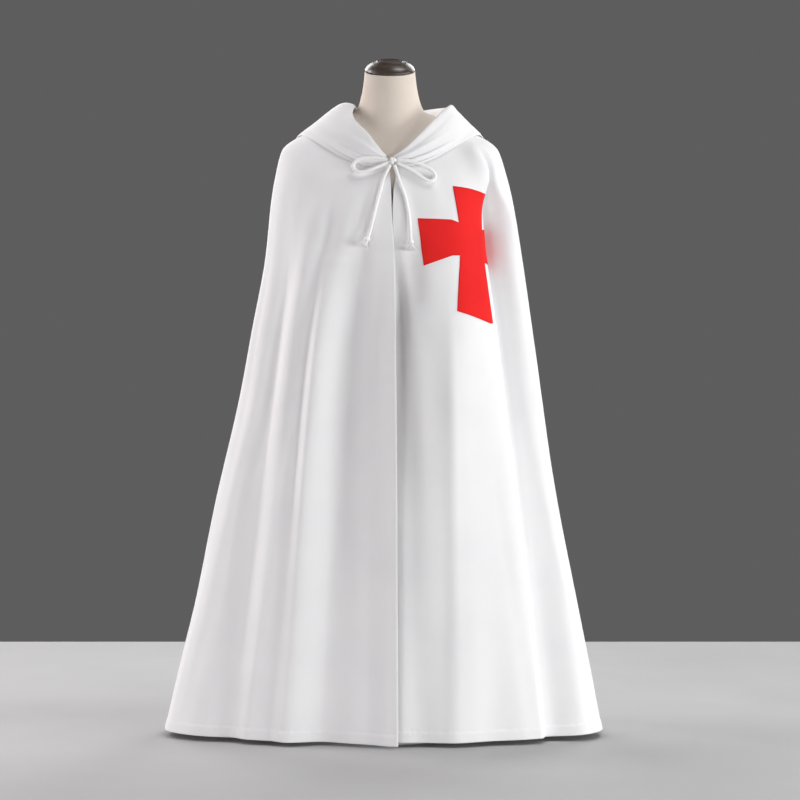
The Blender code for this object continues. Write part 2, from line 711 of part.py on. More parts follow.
def build_stand():
    rim = [(0.0, BASE_HEIGHT), (BASE_RADIUS - BASE_EDGE, BASE_HEIGHT), (BASE_RADIUS, BASE_HEIGHT - BASE_EDGE),
           (BASE_RADIUS, 0.0), (0.0, 0.0)]
    turned("stand_base", rim, 40, "stand_metal", Matrix.Identity(4))
    foot = BASE_HEIGHT + SEAM_GAP
    head = FORM_LOW_RINGS[-1].z_side - SEAM_GAP
    bm = bmesh.new()
    bmesh.ops.create_cone(bm, cap_ends=True, segments=24, radius1=POLE_RADIUS, radius2=POLE_RADIUS,
                          depth=head - foot)
    bmesh.ops.translate(bm, vec=(0.0, 0.0, (head + foot) / 2.0), verts=bm.verts)
    data = bpy.data.meshes.new("stand_pole")
    bm.to_mesh(data)
    bm.free()
    add_object("stand_pole", data, "stand_metal")


clear_scene()
PARTS = bpy.data.collections.new("hooded_cape")
bpy.context.scene.collection.children.link(PARTS)

front_right = body_grid(RIGHT_FOLDS, False, False, BODY_ROWS)
front_left = body_grid(LEFT_FOLDS, False, True, BODY_ROWS)
back = body_grid(BACK_FOLDS, True, False, BODY_ROWS)
sheet("cape_front_right", front_right, CLOTH, 1.0, "cloth_white")
sheet("cape_front_left", front_left, CLOTH, 1.0, "cloth_white")
sheet("cape_back", back, CLOTH, 1.0, "cloth_white")
sheet("hood_right", hood_grid(False), CLOTH, 0.0, "cloth_white")
sheet("hood_left", hood_grid(True), CLOTH, 0.0, "cloth_white")
build_cross(front_left)
build_tie((front_right, front_left))
build_form()
build_stand()
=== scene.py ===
"""Hooded cape with a sewn-on cross, tied at the neck, on a limbless dress form: the visual model.

Metres, +Z up, floor at z = 0, front towards -Y, wearer's left towards +X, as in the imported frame.
"""
import math
from collections import namedtuple
import bmesh
import bpy
import numpy as np
from mathutils import Matrix, Vector


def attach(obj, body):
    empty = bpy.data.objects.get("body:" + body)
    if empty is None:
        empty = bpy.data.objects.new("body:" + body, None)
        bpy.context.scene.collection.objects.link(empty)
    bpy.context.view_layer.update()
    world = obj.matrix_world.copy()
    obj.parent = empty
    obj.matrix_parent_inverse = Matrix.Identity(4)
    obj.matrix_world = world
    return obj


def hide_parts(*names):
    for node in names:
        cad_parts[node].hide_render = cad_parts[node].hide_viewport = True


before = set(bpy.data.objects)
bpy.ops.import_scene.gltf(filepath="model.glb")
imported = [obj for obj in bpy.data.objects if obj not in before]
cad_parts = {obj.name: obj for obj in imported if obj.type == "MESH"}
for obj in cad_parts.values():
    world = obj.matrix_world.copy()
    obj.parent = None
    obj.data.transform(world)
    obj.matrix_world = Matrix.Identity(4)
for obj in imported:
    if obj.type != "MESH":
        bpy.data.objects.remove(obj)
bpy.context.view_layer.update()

# Cloth and fits
WALL = .0016
CLOTH = .0012
HOOD_CLOTH = .0012
SEAM_GAP = .0004
SEAM_RADIUS = .3
HOOD_LIFT = .0036
CROSS_CLOTH = .0007
CROSS_LIFT = .0004
HEM = .021
HEM_RISE = .0011
HEM_PUCKER = .00035
HEM_PUCKER_WIDE = .006
HEM_GROOVE_WIDE = .0016
HEM_BAND = .030
FALL_LENGTH = 1.37
EDGE_HEM = .0085
EDGE_HEM_ROW = 6
HEM_COLUMN = 5
HOOD_EDGE_COLUMN = 4
STITCH_PITCH = .0040
STITCH_LONG = .0029
STITCH_WIDE = .00042

# Rings of the cape, neckline to hem, right and left as the wearer's
Ring = namedtuple("Ring", "right left front back z_front z_side z_back mid bend", defaults=(0.0, 2.0))
CAPE_RINGS = [
    Ring(.098, .098, .104, .076, 1.195, 1.295, 1.298),
    Ring(.140, .140, .119, .098, 1.164, 1.278, 1.264),
    Ring(.185, .185, .132, .117, 1.127, 1.254, 1.214),
    Ring(.208, .208, .140, .126, 1.095, 1.241, 1.176),
    Ring(.225, .225, .145, .132, 1.064, 1.225, 1.140),
    Ring(.237, .240, .148, .138, 1.027, 1.182, 1.092),
    Ring(.248, .255, .150, .144, .977, 1.121, 1.034),
    Ring(.262, .275, .151, .152, .907, .997, .942),
    Ring(.288, .295, .152, .168, .822, .857, .832),
    Ring(.315, .317, .153, .190, .692, .701, .694),
    Ring(.363, .349, .154, .224, .487, .491, .489),
    Ring(.407, .388, .155, .260, .279, .281, .280),
    Ring(.445, .419, .156, .290, .125, .127, .126),
    Ring(.471, .441, .157, .314, .009, .013, .011),
]
CAPE_SQUARE = 2.3
NECK_SQUARE = 2.0
NEAR_FALL = .004
NEAR_TURN = .8

# Centre-front edges: share of the fall, x of the wearer's right and left edge
EdgeRow = namedtuple("EdgeRow", "fall right left")
EDGE_ROWS = [
    EdgeRow(.00, -.0030, .0165),
    EdgeRow(.03, .0005, .0135),
    EdgeRow(.10, .0045, .0054),
    EdgeRow(.17, .0100, .0078),
    EdgeRow(.50, .0135, .0105),
    EdgeRow(1.0, .0175, .0145),
]
RIGHT_HEM_DROP = .004
RIGHT_HEM_DROP_TURN = 45.0

# Folds: x at shoulder, chest and hem; how far the line stands out at chest, middle and hem;
# where it starts and how long it takes to grow; columns up to the next line
Fold = namedtuple("Fold", "x_top x_chest x_hem chest middle hem start rise columns")
RIGHT_FOLDS = [
    Fold(.000, .000, .000, .008, .040, .032, .10, .14, 2),
    Fold(-.024, -.028, -.047, -.003, .012, .013, .10, .14, 3),
    Fold(-.056, -.065, -.140, -.013, -.022, -.014, .10, .14, 3),
    Fold(-.109, -.127, -.212, .005, .016, .013, .10, .14, 3),
    Fold(-.122, -.145, -.246, .000, -.002, .000, .10, .16, 2),
    Fold(-.144, -.169, -.286, .004, .000, -.002, .10, .16, 3),
    Fold(-.180, -.212, -.334, -.014, -.024, -.022, .10, .22, 3),
    Fold(-.206, -.242, -.390, -.007, -.014, -.008, .10, .22, 3),
    Fold(-9.0, -9.0, -9.0, .000, .000, .000, .10, .22, 0),
]
LEFT_FOLDS = [
    Fold(.000, .000, .000, -.004, -.021, -.006, .10, .14, 2),
    Fold(.038, .044, .050, -.002, -.008, -.006, .10, .14, 3),
    Fold(.112, .120, .130, .012, .013, .008, .07, .12, 3),
    Fold(.164, .173, .218, -.002, .007, .003, .06, .10, 3),
    Fold(.197, .206, .308, -.023, -.010, .001, .075, .085, 3),
    Fold(.205, .219, .329, -.080, -.046, -.024, .075, .085, 3),
    Fold(.2145, .257, .404, .000, .000, .008, .08, .14, 3),
    Fold(9.0, 9.0, 9.0, .000, .000, .000, .10, .14, 0),
]
BACK_FOLDS = [
    Fold(9.0, 9.0, 9.0, .000, .000, .000, .12, .24, 3),
    Fold(.178, .228, .400, -.010, -.018, -.022, .12, .24, 3),
    Fold(.145, .188, .335, .010, .016, .022, .12, .24, 3),
    Fold(.108, .142, .262, -.012, -.024, -.028, .12, .24, 3),
    Fold(.075, .098, .170, .008, .020, .027, .12, .24, 3),
    Fold(.035, .046, .092, -.010, -.020, -.024, .12, .24, 3),
    Fold(.005, .006, .014, .006, .014, .019, .12, .24, 3),
    Fold(-.038, -.050, -.072, -.012, -.026, -.030, .12, .24, 3),
    Fold(-.077, -.100, -.168, .008, .022, .029, .12, .24, 3),
    Fold(-.112, -.146, -.248, -.012, -.024, -.027, .12, .24, 3),
    Fold(-.147, -.192, -.340, .008, .015, .018, .12, .24, 3),
    Fold(-.180, -.230, -.412, -.010, -.018, -.024, .12, .24, 3),
    Fold(-9.0, -9.0, -9.0, .000, .000, .000, .12, .24, 0),
]
LEAST_TURN = 1.6
FOLD_TOP = .12
FRONT_FOLD_FULL = .22
BACK_FOLD_FULL = .36
FOLD_MIDDLE = .50
ROW_CROWDING = 1.3
PANEL_ROWS = 170
HEM_ROWS = 14
FRONT_FINER = 7
BACK_FINER = 6
SOFT_WAVES = 9

# Creases down the cloth: turn at the upper and lower end, shares of the fall, depth, width in degrees
Crease = namedtuple("Crease", "turn_top turn_low top low depth wide")
RIGHT_CREASES = [
    Crease(-22.0, -23.0, .090, .185, .0030, 4.2),
    Crease(-31.0, -29.0, .100, .230, -.0036, 3.8),
    Crease(-13.5, -11.0, .085, .200, -.0032, 3.0),
    Crease(-44.0, -38.0, .120, .330, .0012, 4.4),
    Crease(-33.0, -36.0, .34, .97, .0019, 2.3),
    Crease(-28.5, -31.0, .42, .90, -.0012, 2.4),
    Crease(-52.0, -55.0, .24, .80, -.0012, 3.4),
    Crease(-12.0, -9.0, .46, .92, -.0012, 2.8),
    Crease(-4.2, -3.4, .20, 1.0, -.0060, 3.0),
    Crease(-66.0, -69.0, .30, 1.0, .0016, 3.2),
    Crease(-78.0, -74.0, .22, .72, -.0014, 3.6),
]
LEFT_CREASES = [
    Crease(2.0, 2.5, .120, .530, -.0115, 2.7),
    Crease(9.5, 7.5, .140, .310, -.0074, 5.4),
    Crease(9.0, 8.0, .330, 1.0, .0085, 5.0),
    Crease(1.6, 1.6, .520, 1.0, .0130, 4.0),
    Crease(22.2, 14.6, .300, 1.0, .0026, 2.2),
    Crease(24.0, 16.4, .300, 1.0, .0050, 5.6),
    Crease(60.0, 58.0, .075, .150, .0150, 7.0),
    Crease(14.0, 13.0, .050, .160, -.0016, 5.0),
    Crease(27.0, 24.0, .060, .130, .0012, 4.0),
    Crease(72.0, 76.0, .16, .46, -.0018, 3.4),
    Crease(66.0, 70.0, .38, .92, .0016, 3.0),
    Crease(36.0, 39.0, .58, 1.0, -.0014, 3.0),
    Crease(81.0, 83.0, .28, 1.0, .0018, 3.0),
]
BACK_CREASES = [
    Crease(112.0, 108.0, .26, .74, .0030, 2.6),
    Crease(131.0, 136.0, .40, 1.0, -.0028, 2.0),
    Crease(149.0, 146.0, .30, .66, .0026, 2.4),
    Crease(163.0, 166.0, .46, 1.0, .0026, 1.8),
    Crease(176.0, 173.0, .30, .70, -.0024, 2.2),
    Crease(195.0, 199.0, .38, .96, .0028, 2.0),
    Crease(212.0, 208.0, .28, .62, -.0030, 2.6),
    Crease(231.0, 235.0, .44, 1.0, .0024, 2.2),
    Crease(249.0, 245.0, .24, .80, -.0026, 3.0),
]

# Creases round the cloth: share of the fall at the two ends, turns, depth, width in shares
Drag = namedtuple("Drag", "fall_a fall_b turn_a turn_b depth wide")
RIGHT_DRAGS = [
    Drag(.075, .140, -16.0, -66.0, -.0024, .018),
    Drag(.118, .190, -22.0, -58.0, .0018, .020),
    Drag(.185, .222, -14.0, -34.0, .0022, .013),
]
LEFT_DRAGS = [
    Drag(.070, .105, 14.0, 44.0, -.0016, .015),
    Drag(.120, .165, 70.0, 88.0, -.0018, .016),
    Drag(.185, .160, 66.0, 86.0, .0016, .015),
]
BACK_DRAGS = [
    Drag(.150, .190, 96.0, 132.0, -.0026, .016),
    Drag(.195, .150, 226.0, 264.0, .0024, .017),
    Drag(.235, .225, 150.0, 206.0, .0020, .015),
]

# Hood, lying down: stations round the neck, as (share of the fall, lift off the cape)
Station = namedtuple("Station", "turn roll fall low outer edge")
HOOD_STATIONS = [
    Station(4.0, (.001, .0080), (.005, .0080), (.009, .0068), (.012, .0052), (.015, HOOD_LIFT)),
    Station(28.0, (.001, .0170), (.011, .0165), (.021, .0125), (.030, .0080), (.038, HOOD_LIFT)),
    Station(55.0, (.001, .0270), (.018, .0240), (.034, .0160), (.046, .0085), (.056, HOOD_LIFT)),
    Station(88.0, (.001, .0330), (.026, .0270), (.046, .0175), (.061, .0095), (.072, HOOD_LIFT)),
    Station(118.0, (.001, .0330), (.036, .0250), (.070, .0140), (.090, .0120), (.088, .0180)),
    Station(150.0, (.001, .0330), (.075, .0200), (.150, .0150), (.140, .0360), (.090, .0420)),
    Station(180.0, (.001, .0330), (.090, .0200), (.215, .0150), (.170, .0400), (.105, .0460)),
]
# How each half is pulled out sideways and raised, station by station, at its roll, fall and low points
Pull = namedtuple("Pull", "roll fall low")
NO_PULL = Pull((.0, .0), (.0, .0), (.0, .0))
HOOD_RIGHT_PULLS = [
    Pull((.0000, .0030), (.0000, .0017), (.000, .0005)),
    Pull((-.0035, .0210), (-.0018, .0116), (.000, .0032)),
    Pull((-.0107, .0060), (-.0054, .0033), (.000, .0009)),
    Pull((-.0398, -.0112), (-.0395, .0137), (-.010, .0000)),
    Pull((-.0335, -.0080), (-.0150, .0060), (.000, .0000)),
    NO_PULL,
    NO_PULL,
]
HOOD_LEFT_PULLS = [
    Pull((.0000, .0012), (.0000, .0007), (.000, .0002)),
    Pull((.0022, .0084), (.0011, .0046), (.000, .0013)),
    Pull((.0067, .0024), (.0034, .0013), (.000, .0004)),
    Pull((.0155, -.0075), (.0015, -.0010), (.000, .0000)),
    Pull((.0085, -.0040), (.0020, .0000), (.000, .0000)),
    NO_PULL,
    NO_PULL,
]
# Wrinkles beside the tie: share down the hood, slope, reach round the neck, depth, width
Wrinkle = namedtuple("Wrinkle", "at slope reach depth wide")
HOOD_RIGHT_WRINKLES = [
    Wrinkle(.42, .25, .46, .0024, .060),
    Wrinkle(.56, .30, .40, -.0028, .050),
    Wrinkle(.70, .25, .46, .0030, .055),
    Wrinkle(.84, .10, .36, -.0022, .045),
]
HOOD_LEFT_WRINKLES = [
    Wrinkle(.34, .10, .44, -.0024, .060),
    Wrinkle(.48, .25, .38, .0034, .050),
    Wrinkle(.60, .40, .32, -.0036, .045),
    Wrinkle(.72, .30, .40, .0038, .050),
    Wrinkle(.84, .15, .34, -.0030, .040),
    Wrinkle(.93, .05, .28, .0018, .035),
]
# Slack creases further round: share round the neck, slope, width, where down the hood they grow, depth
Slack = namedtuple("Slack", "at slope wide start full depth")
HOOD_SLACKS = [
    Slack(.62, .10, .035, .2, .5, .0022),
    Slack(.80, -.06, .04, .3, .6, -.0020),
]
HOOD_WAVE = .0016
HOOD_WAVES_ROUND = 7.0
HOOD_WAVES_DOWN = 2.4
HOOD_WAVE_RIGHT = .2
HOOD_WAVE_LEFT = .7
SEAM_SHARE = .007
SEAM_LIFT = .0030
STATION_COLUMNS = 18
WAY_ROWS = 16

# Flared cross, on cloth lengths: centre, lean going down, droop across, more of it down the lower arm,
# droop of the inner tip, half widths, arm lengths
CROSS_AT_X = .166
CROSS_AT_Z = 1.022
CROSS_LEAN = .055
CROSS_DROOP = .18
CROSS_SLANT = .14
CROSS_TIP_DROOP = .16
CROSS_ROOT = .034
CROSS_FLARE = .050
CROSS_NARROW_FLARE = .0435
CROSS_SKEW = .0110
CROSS_UP = .112
CROSS_DOWN = .155
CROSS_SIDE = .119
CROSS_STITCH_IN = .0019
CROSS_MARKS = .004
CROSS_MARGIN = .02
CROSS_WELD = .0001

# Neck tie: a cord of three strands; a strand's radius, its place and the dips between, for a radius of 1
CORD = .0076
CORD_PITCH = .0170
CORD_STEP = .0011
CORD_SIDES = 24
STRAND = .464
STRAND_OUT = .536
STRAND_DIP = .84
# The bow's knot: cord, crosswise core, twist, step along a turn, depth and height of a turn, half the core,
# and how far the core bows out and slants
KNOT_CORD = .0060
KNOT_CORE = .0056
KNOT_PITCH = .012
KNOT_STEP = .0052
KNOT_DEEP = .0048
KNOT_HIGH = .0053
KNOT_HALF = .0088
KNOT_CORE_BOW = .0008
KNOT_CORE_SLANT = .0016
# The tails' ends: a small coiled knot and a tuft of strands that flares under it
END_CORD = .0054
END_PITCH = .011
END_RADIUS = .0034
END_START = .0022
END_STEP = .0026
END_TURNS = 1.9
END_SIDES = 18
TUFT_START = .0076
TUFT_AIM_STEPS = 7
TUFT_STRANDS = 190
TUFT_LONG = .0138
TUFT_NECK = .0034
TUFT_FLARE = .0128
TUFT_CURVE = 1.9
TUFT_FLAT = .66
TUFT_LEAN = .34
TUFT_CORE = .72
TUFT_CORE_ROWS = 9
TUFT_CORE_COLUMNS = 24
STRAND_RINGS = 6
STRAND_SIDES = 4
# Route points, and how far the cord's middle lies out of the cape's front
RoutePoint = namedtuple("RoutePoint", "x z out")
KNOT_AT = RoutePoint(.0055, 1.1880, .0134)
LOOP_RIGHT = [
    RoutePoint(-.0044, 1.1915, .0147),
    RoutePoint(-.0260, 1.1948, .0168),
    RoutePoint(-.0480, 1.1945, .0168),
    RoutePoint(-.0655, 1.1900, .0145),
    RoutePoint(-.0742, 1.1795, .0115),
    RoutePoint(-.0700, 1.1695, .0092),
    RoutePoint(-.0580, 1.1658, .0082),
    RoutePoint(-.0420, 1.1690, .0094),
    RoutePoint(-.0230, 1.1765, .0111),
    RoutePoint(-.0044, 1.1839, .0120),
]
LOOP_LEFT = [
    RoutePoint(.0160, 1.1915, .0147),
    RoutePoint(.0420, 1.1880, .0158),
    RoutePoint(.0680, 1.1792, .0122),
    RoutePoint(.0860, 1.1690, .0090),
    RoutePoint(.0934, 1.1575, .0070),
    RoutePoint(.0880, 1.1488, .0062),
    RoutePoint(.0770, 1.1482, .0060),
    RoutePoint(.0620, 1.1575, .0070),
    RoutePoint(.0420, 1.1712, .0093),
    RoutePoint(.0158, 1.1839, .0120),
]
TAIL_RIGHT = [
    RoutePoint(.0010, 1.1798, .0124),
    RoutePoint(-.0120, 1.1520, .0066),
    RoutePoint(-.0230, 1.1120, .0046),
    RoutePoint(-.0330, 1.0700, .0066),
    RoutePoint(-.0432, 1.0300, .0122),
]
TAIL_LEFT = [
    RoutePoint(.0100, 1.1798, .0124),
    RoutePoint(.0195, 1.1480, .0066),
    RoutePoint(.0325, 1.1100, .0046),
    RoutePoint(.0400, 1.0680, .0066),
    RoutePoint(.0428, 1.0245, .0122),
]

# Dress form
FORM_SEAT = .0020
FORM_SEAT_FALL = .0443
FORM_SEAT_ROWS = 14
FORM_TOP_RINGS = [
    Ring(.0525, .0525, .0525, .0525, 1.3695, 1.3875, 1.4055, -.018, 1.0),
    Ring(.0560, .0560, .0560, .0550, 1.342, 1.357, 1.372, -.015, 1.0),
    Ring(.0612, .0612, .0610, .0600, 1.305, 1.332, 1.343, -.010, 1.5),
    Ring(.0715, .0715, .0720, .0640, 1.250, 1.3075, 1.314, -.004, 2.0),
]
FORM_LOW_RINGS = [
    Ring(.174, .174, .128, .110, 1.072, 1.196, 1.142),
    Ring(.156, .156, .130, .108, 1.012, 1.112, 1.072),
    Ring(.148, .148, .124, .104, .967, 1.022, 1.002),
    Ring(.130, .130, .104, .088, .897, .912, .902),
    Ring(.152, .152, .112, .108, .792, .792, .792),
    Ring(.172, .172, .116, .124, .692, .692, .692),
    Ring(.168, .168, .112, .120, .612, .612, .612),
]
FORM_COLUMNS = 144
FORM_TURNS = np.arange(FORM_COLUMNS)[None, :] * 360.0 / FORM_COLUMNS
FORM_ROWS_PER_RING = 10
FORM_SQUARE = 2.0
FORM_EDGE = .0014
FORM_EDGE_STEPS = 3
FORM_EDGE_ANGLE = 50.0
NECK_TILT = 18.93
# Cap: radius and height of its turned profile, top to foot
CAP_PROFILE = [
    (.0001, .0209), (.0090, .0211), (.0180, .0216), (.0225, .0230), (.0252, .0235), (.0276, .0226),
    (.0300, .0212), (.0360, .0190), (.0420, .0156), (.0465, .0123), (.0495, .0091), (.0516, .0058),
    (.0525, .0030), (.0521, .0012), (.0508, .0004), (.0001, .0004),
]
CAP_COLUMNS = 96

# Weaves: colour and the darker colour painted as shade where threads lie low, pitch of the threads,
# roughness, sheen, relief of threads and of slubs
Weave = namedtuple("Weave", "name colour shade pitch roughness sheen relief slub")
WHITE_CLOTH = Weave("white_cloth", (.90, .90, .905), (.83, .83, .845), .0009, .88, .12, .22, .5)
RED_CLOTH = Weave("red_cloth", (.88, .022, .021), (.73, .012, .013), .0009, .85, .06, .25, .5)
FORM_LINEN = Weave("form_linen_weave", (.80, .715, .635), (.71, .62, .54), .0011, .9, .08, .40, .9)

# Camera, in the photograph's frame of 800 by 800
CAMERA_AT = (.021, -4.2, .701)
CAMERA_LENS = 90.0
CAMERA_SENSOR = 36.0

# Floor, surround and lights
FLOOR_HALF = 2.3
FLOOR_FRONT = -1.9
FLOOR_BACK = 1.6
WORLD_COLOUR = (.37, .366, .369, 1.0)
WORLD_STRENGTH = .30
PLAIN = (1.0, 1.0, 1.0)
WARM = (1.0, .955, .965)
LIGHT_AIM = (0.0, 0.0, .75)
Light = namedtuple("Light", "name at wide power colour")
LIGHTS = [
    Light("key", (3.09, -1.79, .48), .9, 37.0, PLAIN),
    Light("key_front", (2.05, -2.93, .48), .9, 27.0, PLAIN),
    Light("key_side", (3.20, -.30, 1.40), 1.6, 30.0, PLAIN),
    Light("key_top", (1.32, -.76, 4.01), 1.6, 45.0, PLAIN),
    Light("front_left", (-1.22, -3.36, .48), .9, 15.0, WARM),
    Light("fill", (-2.74, -2.30, .60), 1.1, 9.5, WARM),
    Light("side_left", (-3.47, -.61, 1.20), 1.6, 27.0, WARM),
    Light("rim_left", (-3.01, .81, 2.55), 1.6, 66.0, WARM),
    Light("back_left", (-1.47, 2.55, 2.81), 1.8, 50.0, PLAIN),
    Light("back_right", (1.47, 2.55, 2.81), 1.8, 50.0, PLAIN),
]


def ease(start, end, at):
    t = np.clip((np.asarray(at, float) - start) / (end - start), 0.0, 1.0)
    return t * t * (3.0 - 2.0 * t)


def smooth_through(knots, values, at):
    """Smooth curve through one value, or one row of values, per knot, without overshoot."""
    knots, values = np.asarray(knots, float), np.asarray(values, float)
    at = np.clip(np.asarray(at, float), knots[0], knots[-1])
    wide = values.ndim > 1
    step = np.diff(knots)
    chord = np.diff(values, axis=0) / (step[:, None] if wide else step)
    slope = np.empty_like(values)
    slope[0], slope[-1] = chord[0], chord[-1]
    before, after = chord[:-1], chord[1:]
    same = before * after > 0.0
    slope[1:-1] = np.where(same, 2.0 * before * after / np.where(same, before + after, 1.0), 0.0)
    i = np.clip(np.searchsorted(knots, at, side="right") - 1, 0, len(knots) - 2)
    t = (at - knots[i]) / step[i]
    h = step[i]
    if wide:
        t, h = t[..., None], h[..., None]
    rise = values[i + 1] - values[i]
    a, b = slope[i] * h, slope[i + 1] * h
    return values[i] + t * (a + t * (3 * rise - 2 * a - b + t * (a + b - 2 * rise)))


def ring_knots(rings):
    way = [0.0]
    for upper, lower in zip(rings, rings[1:]):
        way.append(way[-1] + math.hypot(lower.right - upper.right, lower.z_side - upper.z_side))
    return np.array(way) / way[-1]


def on_ring(ring, turn, square):
    """Points of rings, values in the last axis; turn 0 is the front, 90 the wearer's left, 180 the back."""
    right, left, front, back, z_front, z_side, z_back, mid, bend = np.moveaxis(ring, -1, 0)
    s, c = np.sin(np.radians(turn)), np.cos(np.radians(turn))
    power = 2.0 / square
    x = np.sign(s) * np.abs(s) ** power * np.where(s < 0.0, right, left)
    y = mid - np.sign(c) * np.abs(c) ** power * np.where(c > 0.0, front, back)
    z = z_side + (np.where(c > 0.0, z_front, z_back) - z_side) * np.abs(c) ** bend
    return np.stack(np.broadcast_arrays(x, y, z), axis=-1)


CAPE_KNOTS = ring_knots(CAPE_RINGS)
CAPE_TABLE = np.array(CAPE_RINGS)


def cape_square(fall):
    return NECK_SQUARE + (CAPE_SQUARE - NECK_SQUARE) * ease(.05, .3, fall)


def cape_smooth(turn, fall):
    return on_ring(smooth_through(CAPE_KNOTS, CAPE_TABLE, fall), turn, cape_square(fall))


def unit(v):
    return v / np.maximum(1e-12, np.linalg.norm(v, axis=-1, keepdims=True))


def lengths_along(points):
    """Length along rows of points, or down each column of a grid, up to each point."""
    steps = np.linalg.norm(np.diff(points, axis=0), axis=-1)
    return np.concatenate([np.zeros_like(steps[:1]), np.cumsum(steps, axis=0)])


def along_at(at, way, values):
    """Rows of three values, read at lengths along their way."""
    return np.stack([np.interp(at, way, values[:, k]) for k in range(3)], axis=-1)


def cloth_way(grid):
    """Lengths along the cloth, across and down, for its weave."""
    return lengths_along(np.swapaxes(grid, 0, 1)).T, lengths_along(grid)


def cape_lifted(turn, fall, lift):
    """Points off the cape's smooth form."""
    low, high = np.maximum(0.0, fall - NEAR_FALL), np.minimum(1.0, fall + NEAR_FALL)
    down = cape_smooth(turn, high) - cape_smooth(turn, low)
    around = cape_smooth(turn + NEAR_TURN, fall) - cape_smooth(turn - NEAR_TURN, fall)
    return cape_smooth(turn, fall) - unit(np.cross(around, down)) * np.asarray(lift)[..., None]


def turn_of_x(x, fall, behind):
    ring = smooth_through(CAPE_KNOTS, CAPE_TABLE, fall)
    half = np.where(x < 0.0, ring[..., 0], ring[..., 1])
    turn = np.degrees(np.arcsin(np.minimum(1.0, np.abs(x) / half) ** (cape_square(fall) / 2.0)))
    if behind:
        turn = 180.0 - turn
    return np.sign(x) * turn


def fold_lines(folds, falls, behind, edge):
    """Turn and stand-out of each fold line on each row."""
    chest_at = BACK_FOLD_FULL if behind else FRONT_FOLD_FULL
    along = np.maximum(0.0, (falls - chest_at) / (1.0 - chest_at))
    knots = [0.0, (FOLD_MIDDLE - chest_at) / (1.0 - chest_at), 1.0]
    turns, outs = [], []
    for fold in folds:
        x = fold.x_chest + (fold.x_hem - fold.x_chest) * along
        x = x + (fold.x_top - fold.x_chest) * (1.0 - ease(FOLD_TOP, chest_at, falls))
        turn = turn_of_x(x, np.maximum(falls, FOLD_TOP), behind)
        if fold.x_hem == 0.0:
            turn = turn_of_x(edge, falls, behind)
        if behind:
            turn = np.where(turn < 0.0, turn + 360.0, turn)
        elif turns:
            way = math.copysign(1.0, fold.x_hem)
            turn = np.maximum(way * turn, way * turns[-1] + LEAST_TURN)
            turn = way * np.minimum(turn, 90.0 - LEAST_TURN * (len(folds) - 1 - len(turns)))
        turns.append(turn)
        out = smooth_through(knots, [fold.chest, fold.middle, fold.hem], along)
        outs.append(out * ease(fold.start, fold.start + fold.rise, falls))
    return np.stack(turns, axis=1), np.stack(outs, axis=1)


def crease_relief(turn, fall, creases, drags):
    """Small creases laid on a panel, in metres out of it."""
    relief = np.zeros_like(turn)
    for c in creases:
        share = np.clip((fall - c.top) / (c.low - c.top), 0.0, 1.0)
        middle = c.turn_top + (c.turn_low - c.turn_top) * share
        reach = ease(c.top - .03, c.top + (c.low - c.top) * .35, fall)
        if c.low < .96:
            reach = reach * (1.0 - ease(c.low - (c.low - c.top) * .45, c.low + .03, fall))
        relief += c.depth * reach * np.exp(-((turn - middle) / c.wide) ** 2)
    for d in drags:
        share = np.clip((turn - d.turn_a) / (d.turn_b - d.turn_a), 0.0, 1.0)
        middle = d.fall_a + (d.fall_b - d.fall_a) * share
        reach = np.sin(math.pi * share) ** 1.5
        relief += d.depth * reach * np.exp(-((fall - middle) / d.wide) ** 2)
    return relief


def soft_waves(turn, fall, seed):
    """Slight unevenness of hanging cloth: a few long waves that don't repeat."""
    rng = np.random.default_rng(seed)
    relief = np.zeros_like(turn)
    for _ in range(SOFT_WAVES):
        across, along = rng.uniform(.05, .22), rng.uniform(4.0, 16.0)
        phase, high = rng.uniform(0.0, 6.28), rng.uniform(.0002, .0005)
        relief += high * np.sin(across * turn * 2.0 + along * fall + phase)
    return relief


def grid_normals(grid):
    """Normals of a grid of points, from its neighbours."""
    down = np.gradient(grid, axis=0)
    across = np.gradient(grid, axis=1)
    return unit(np.cross(down, across))


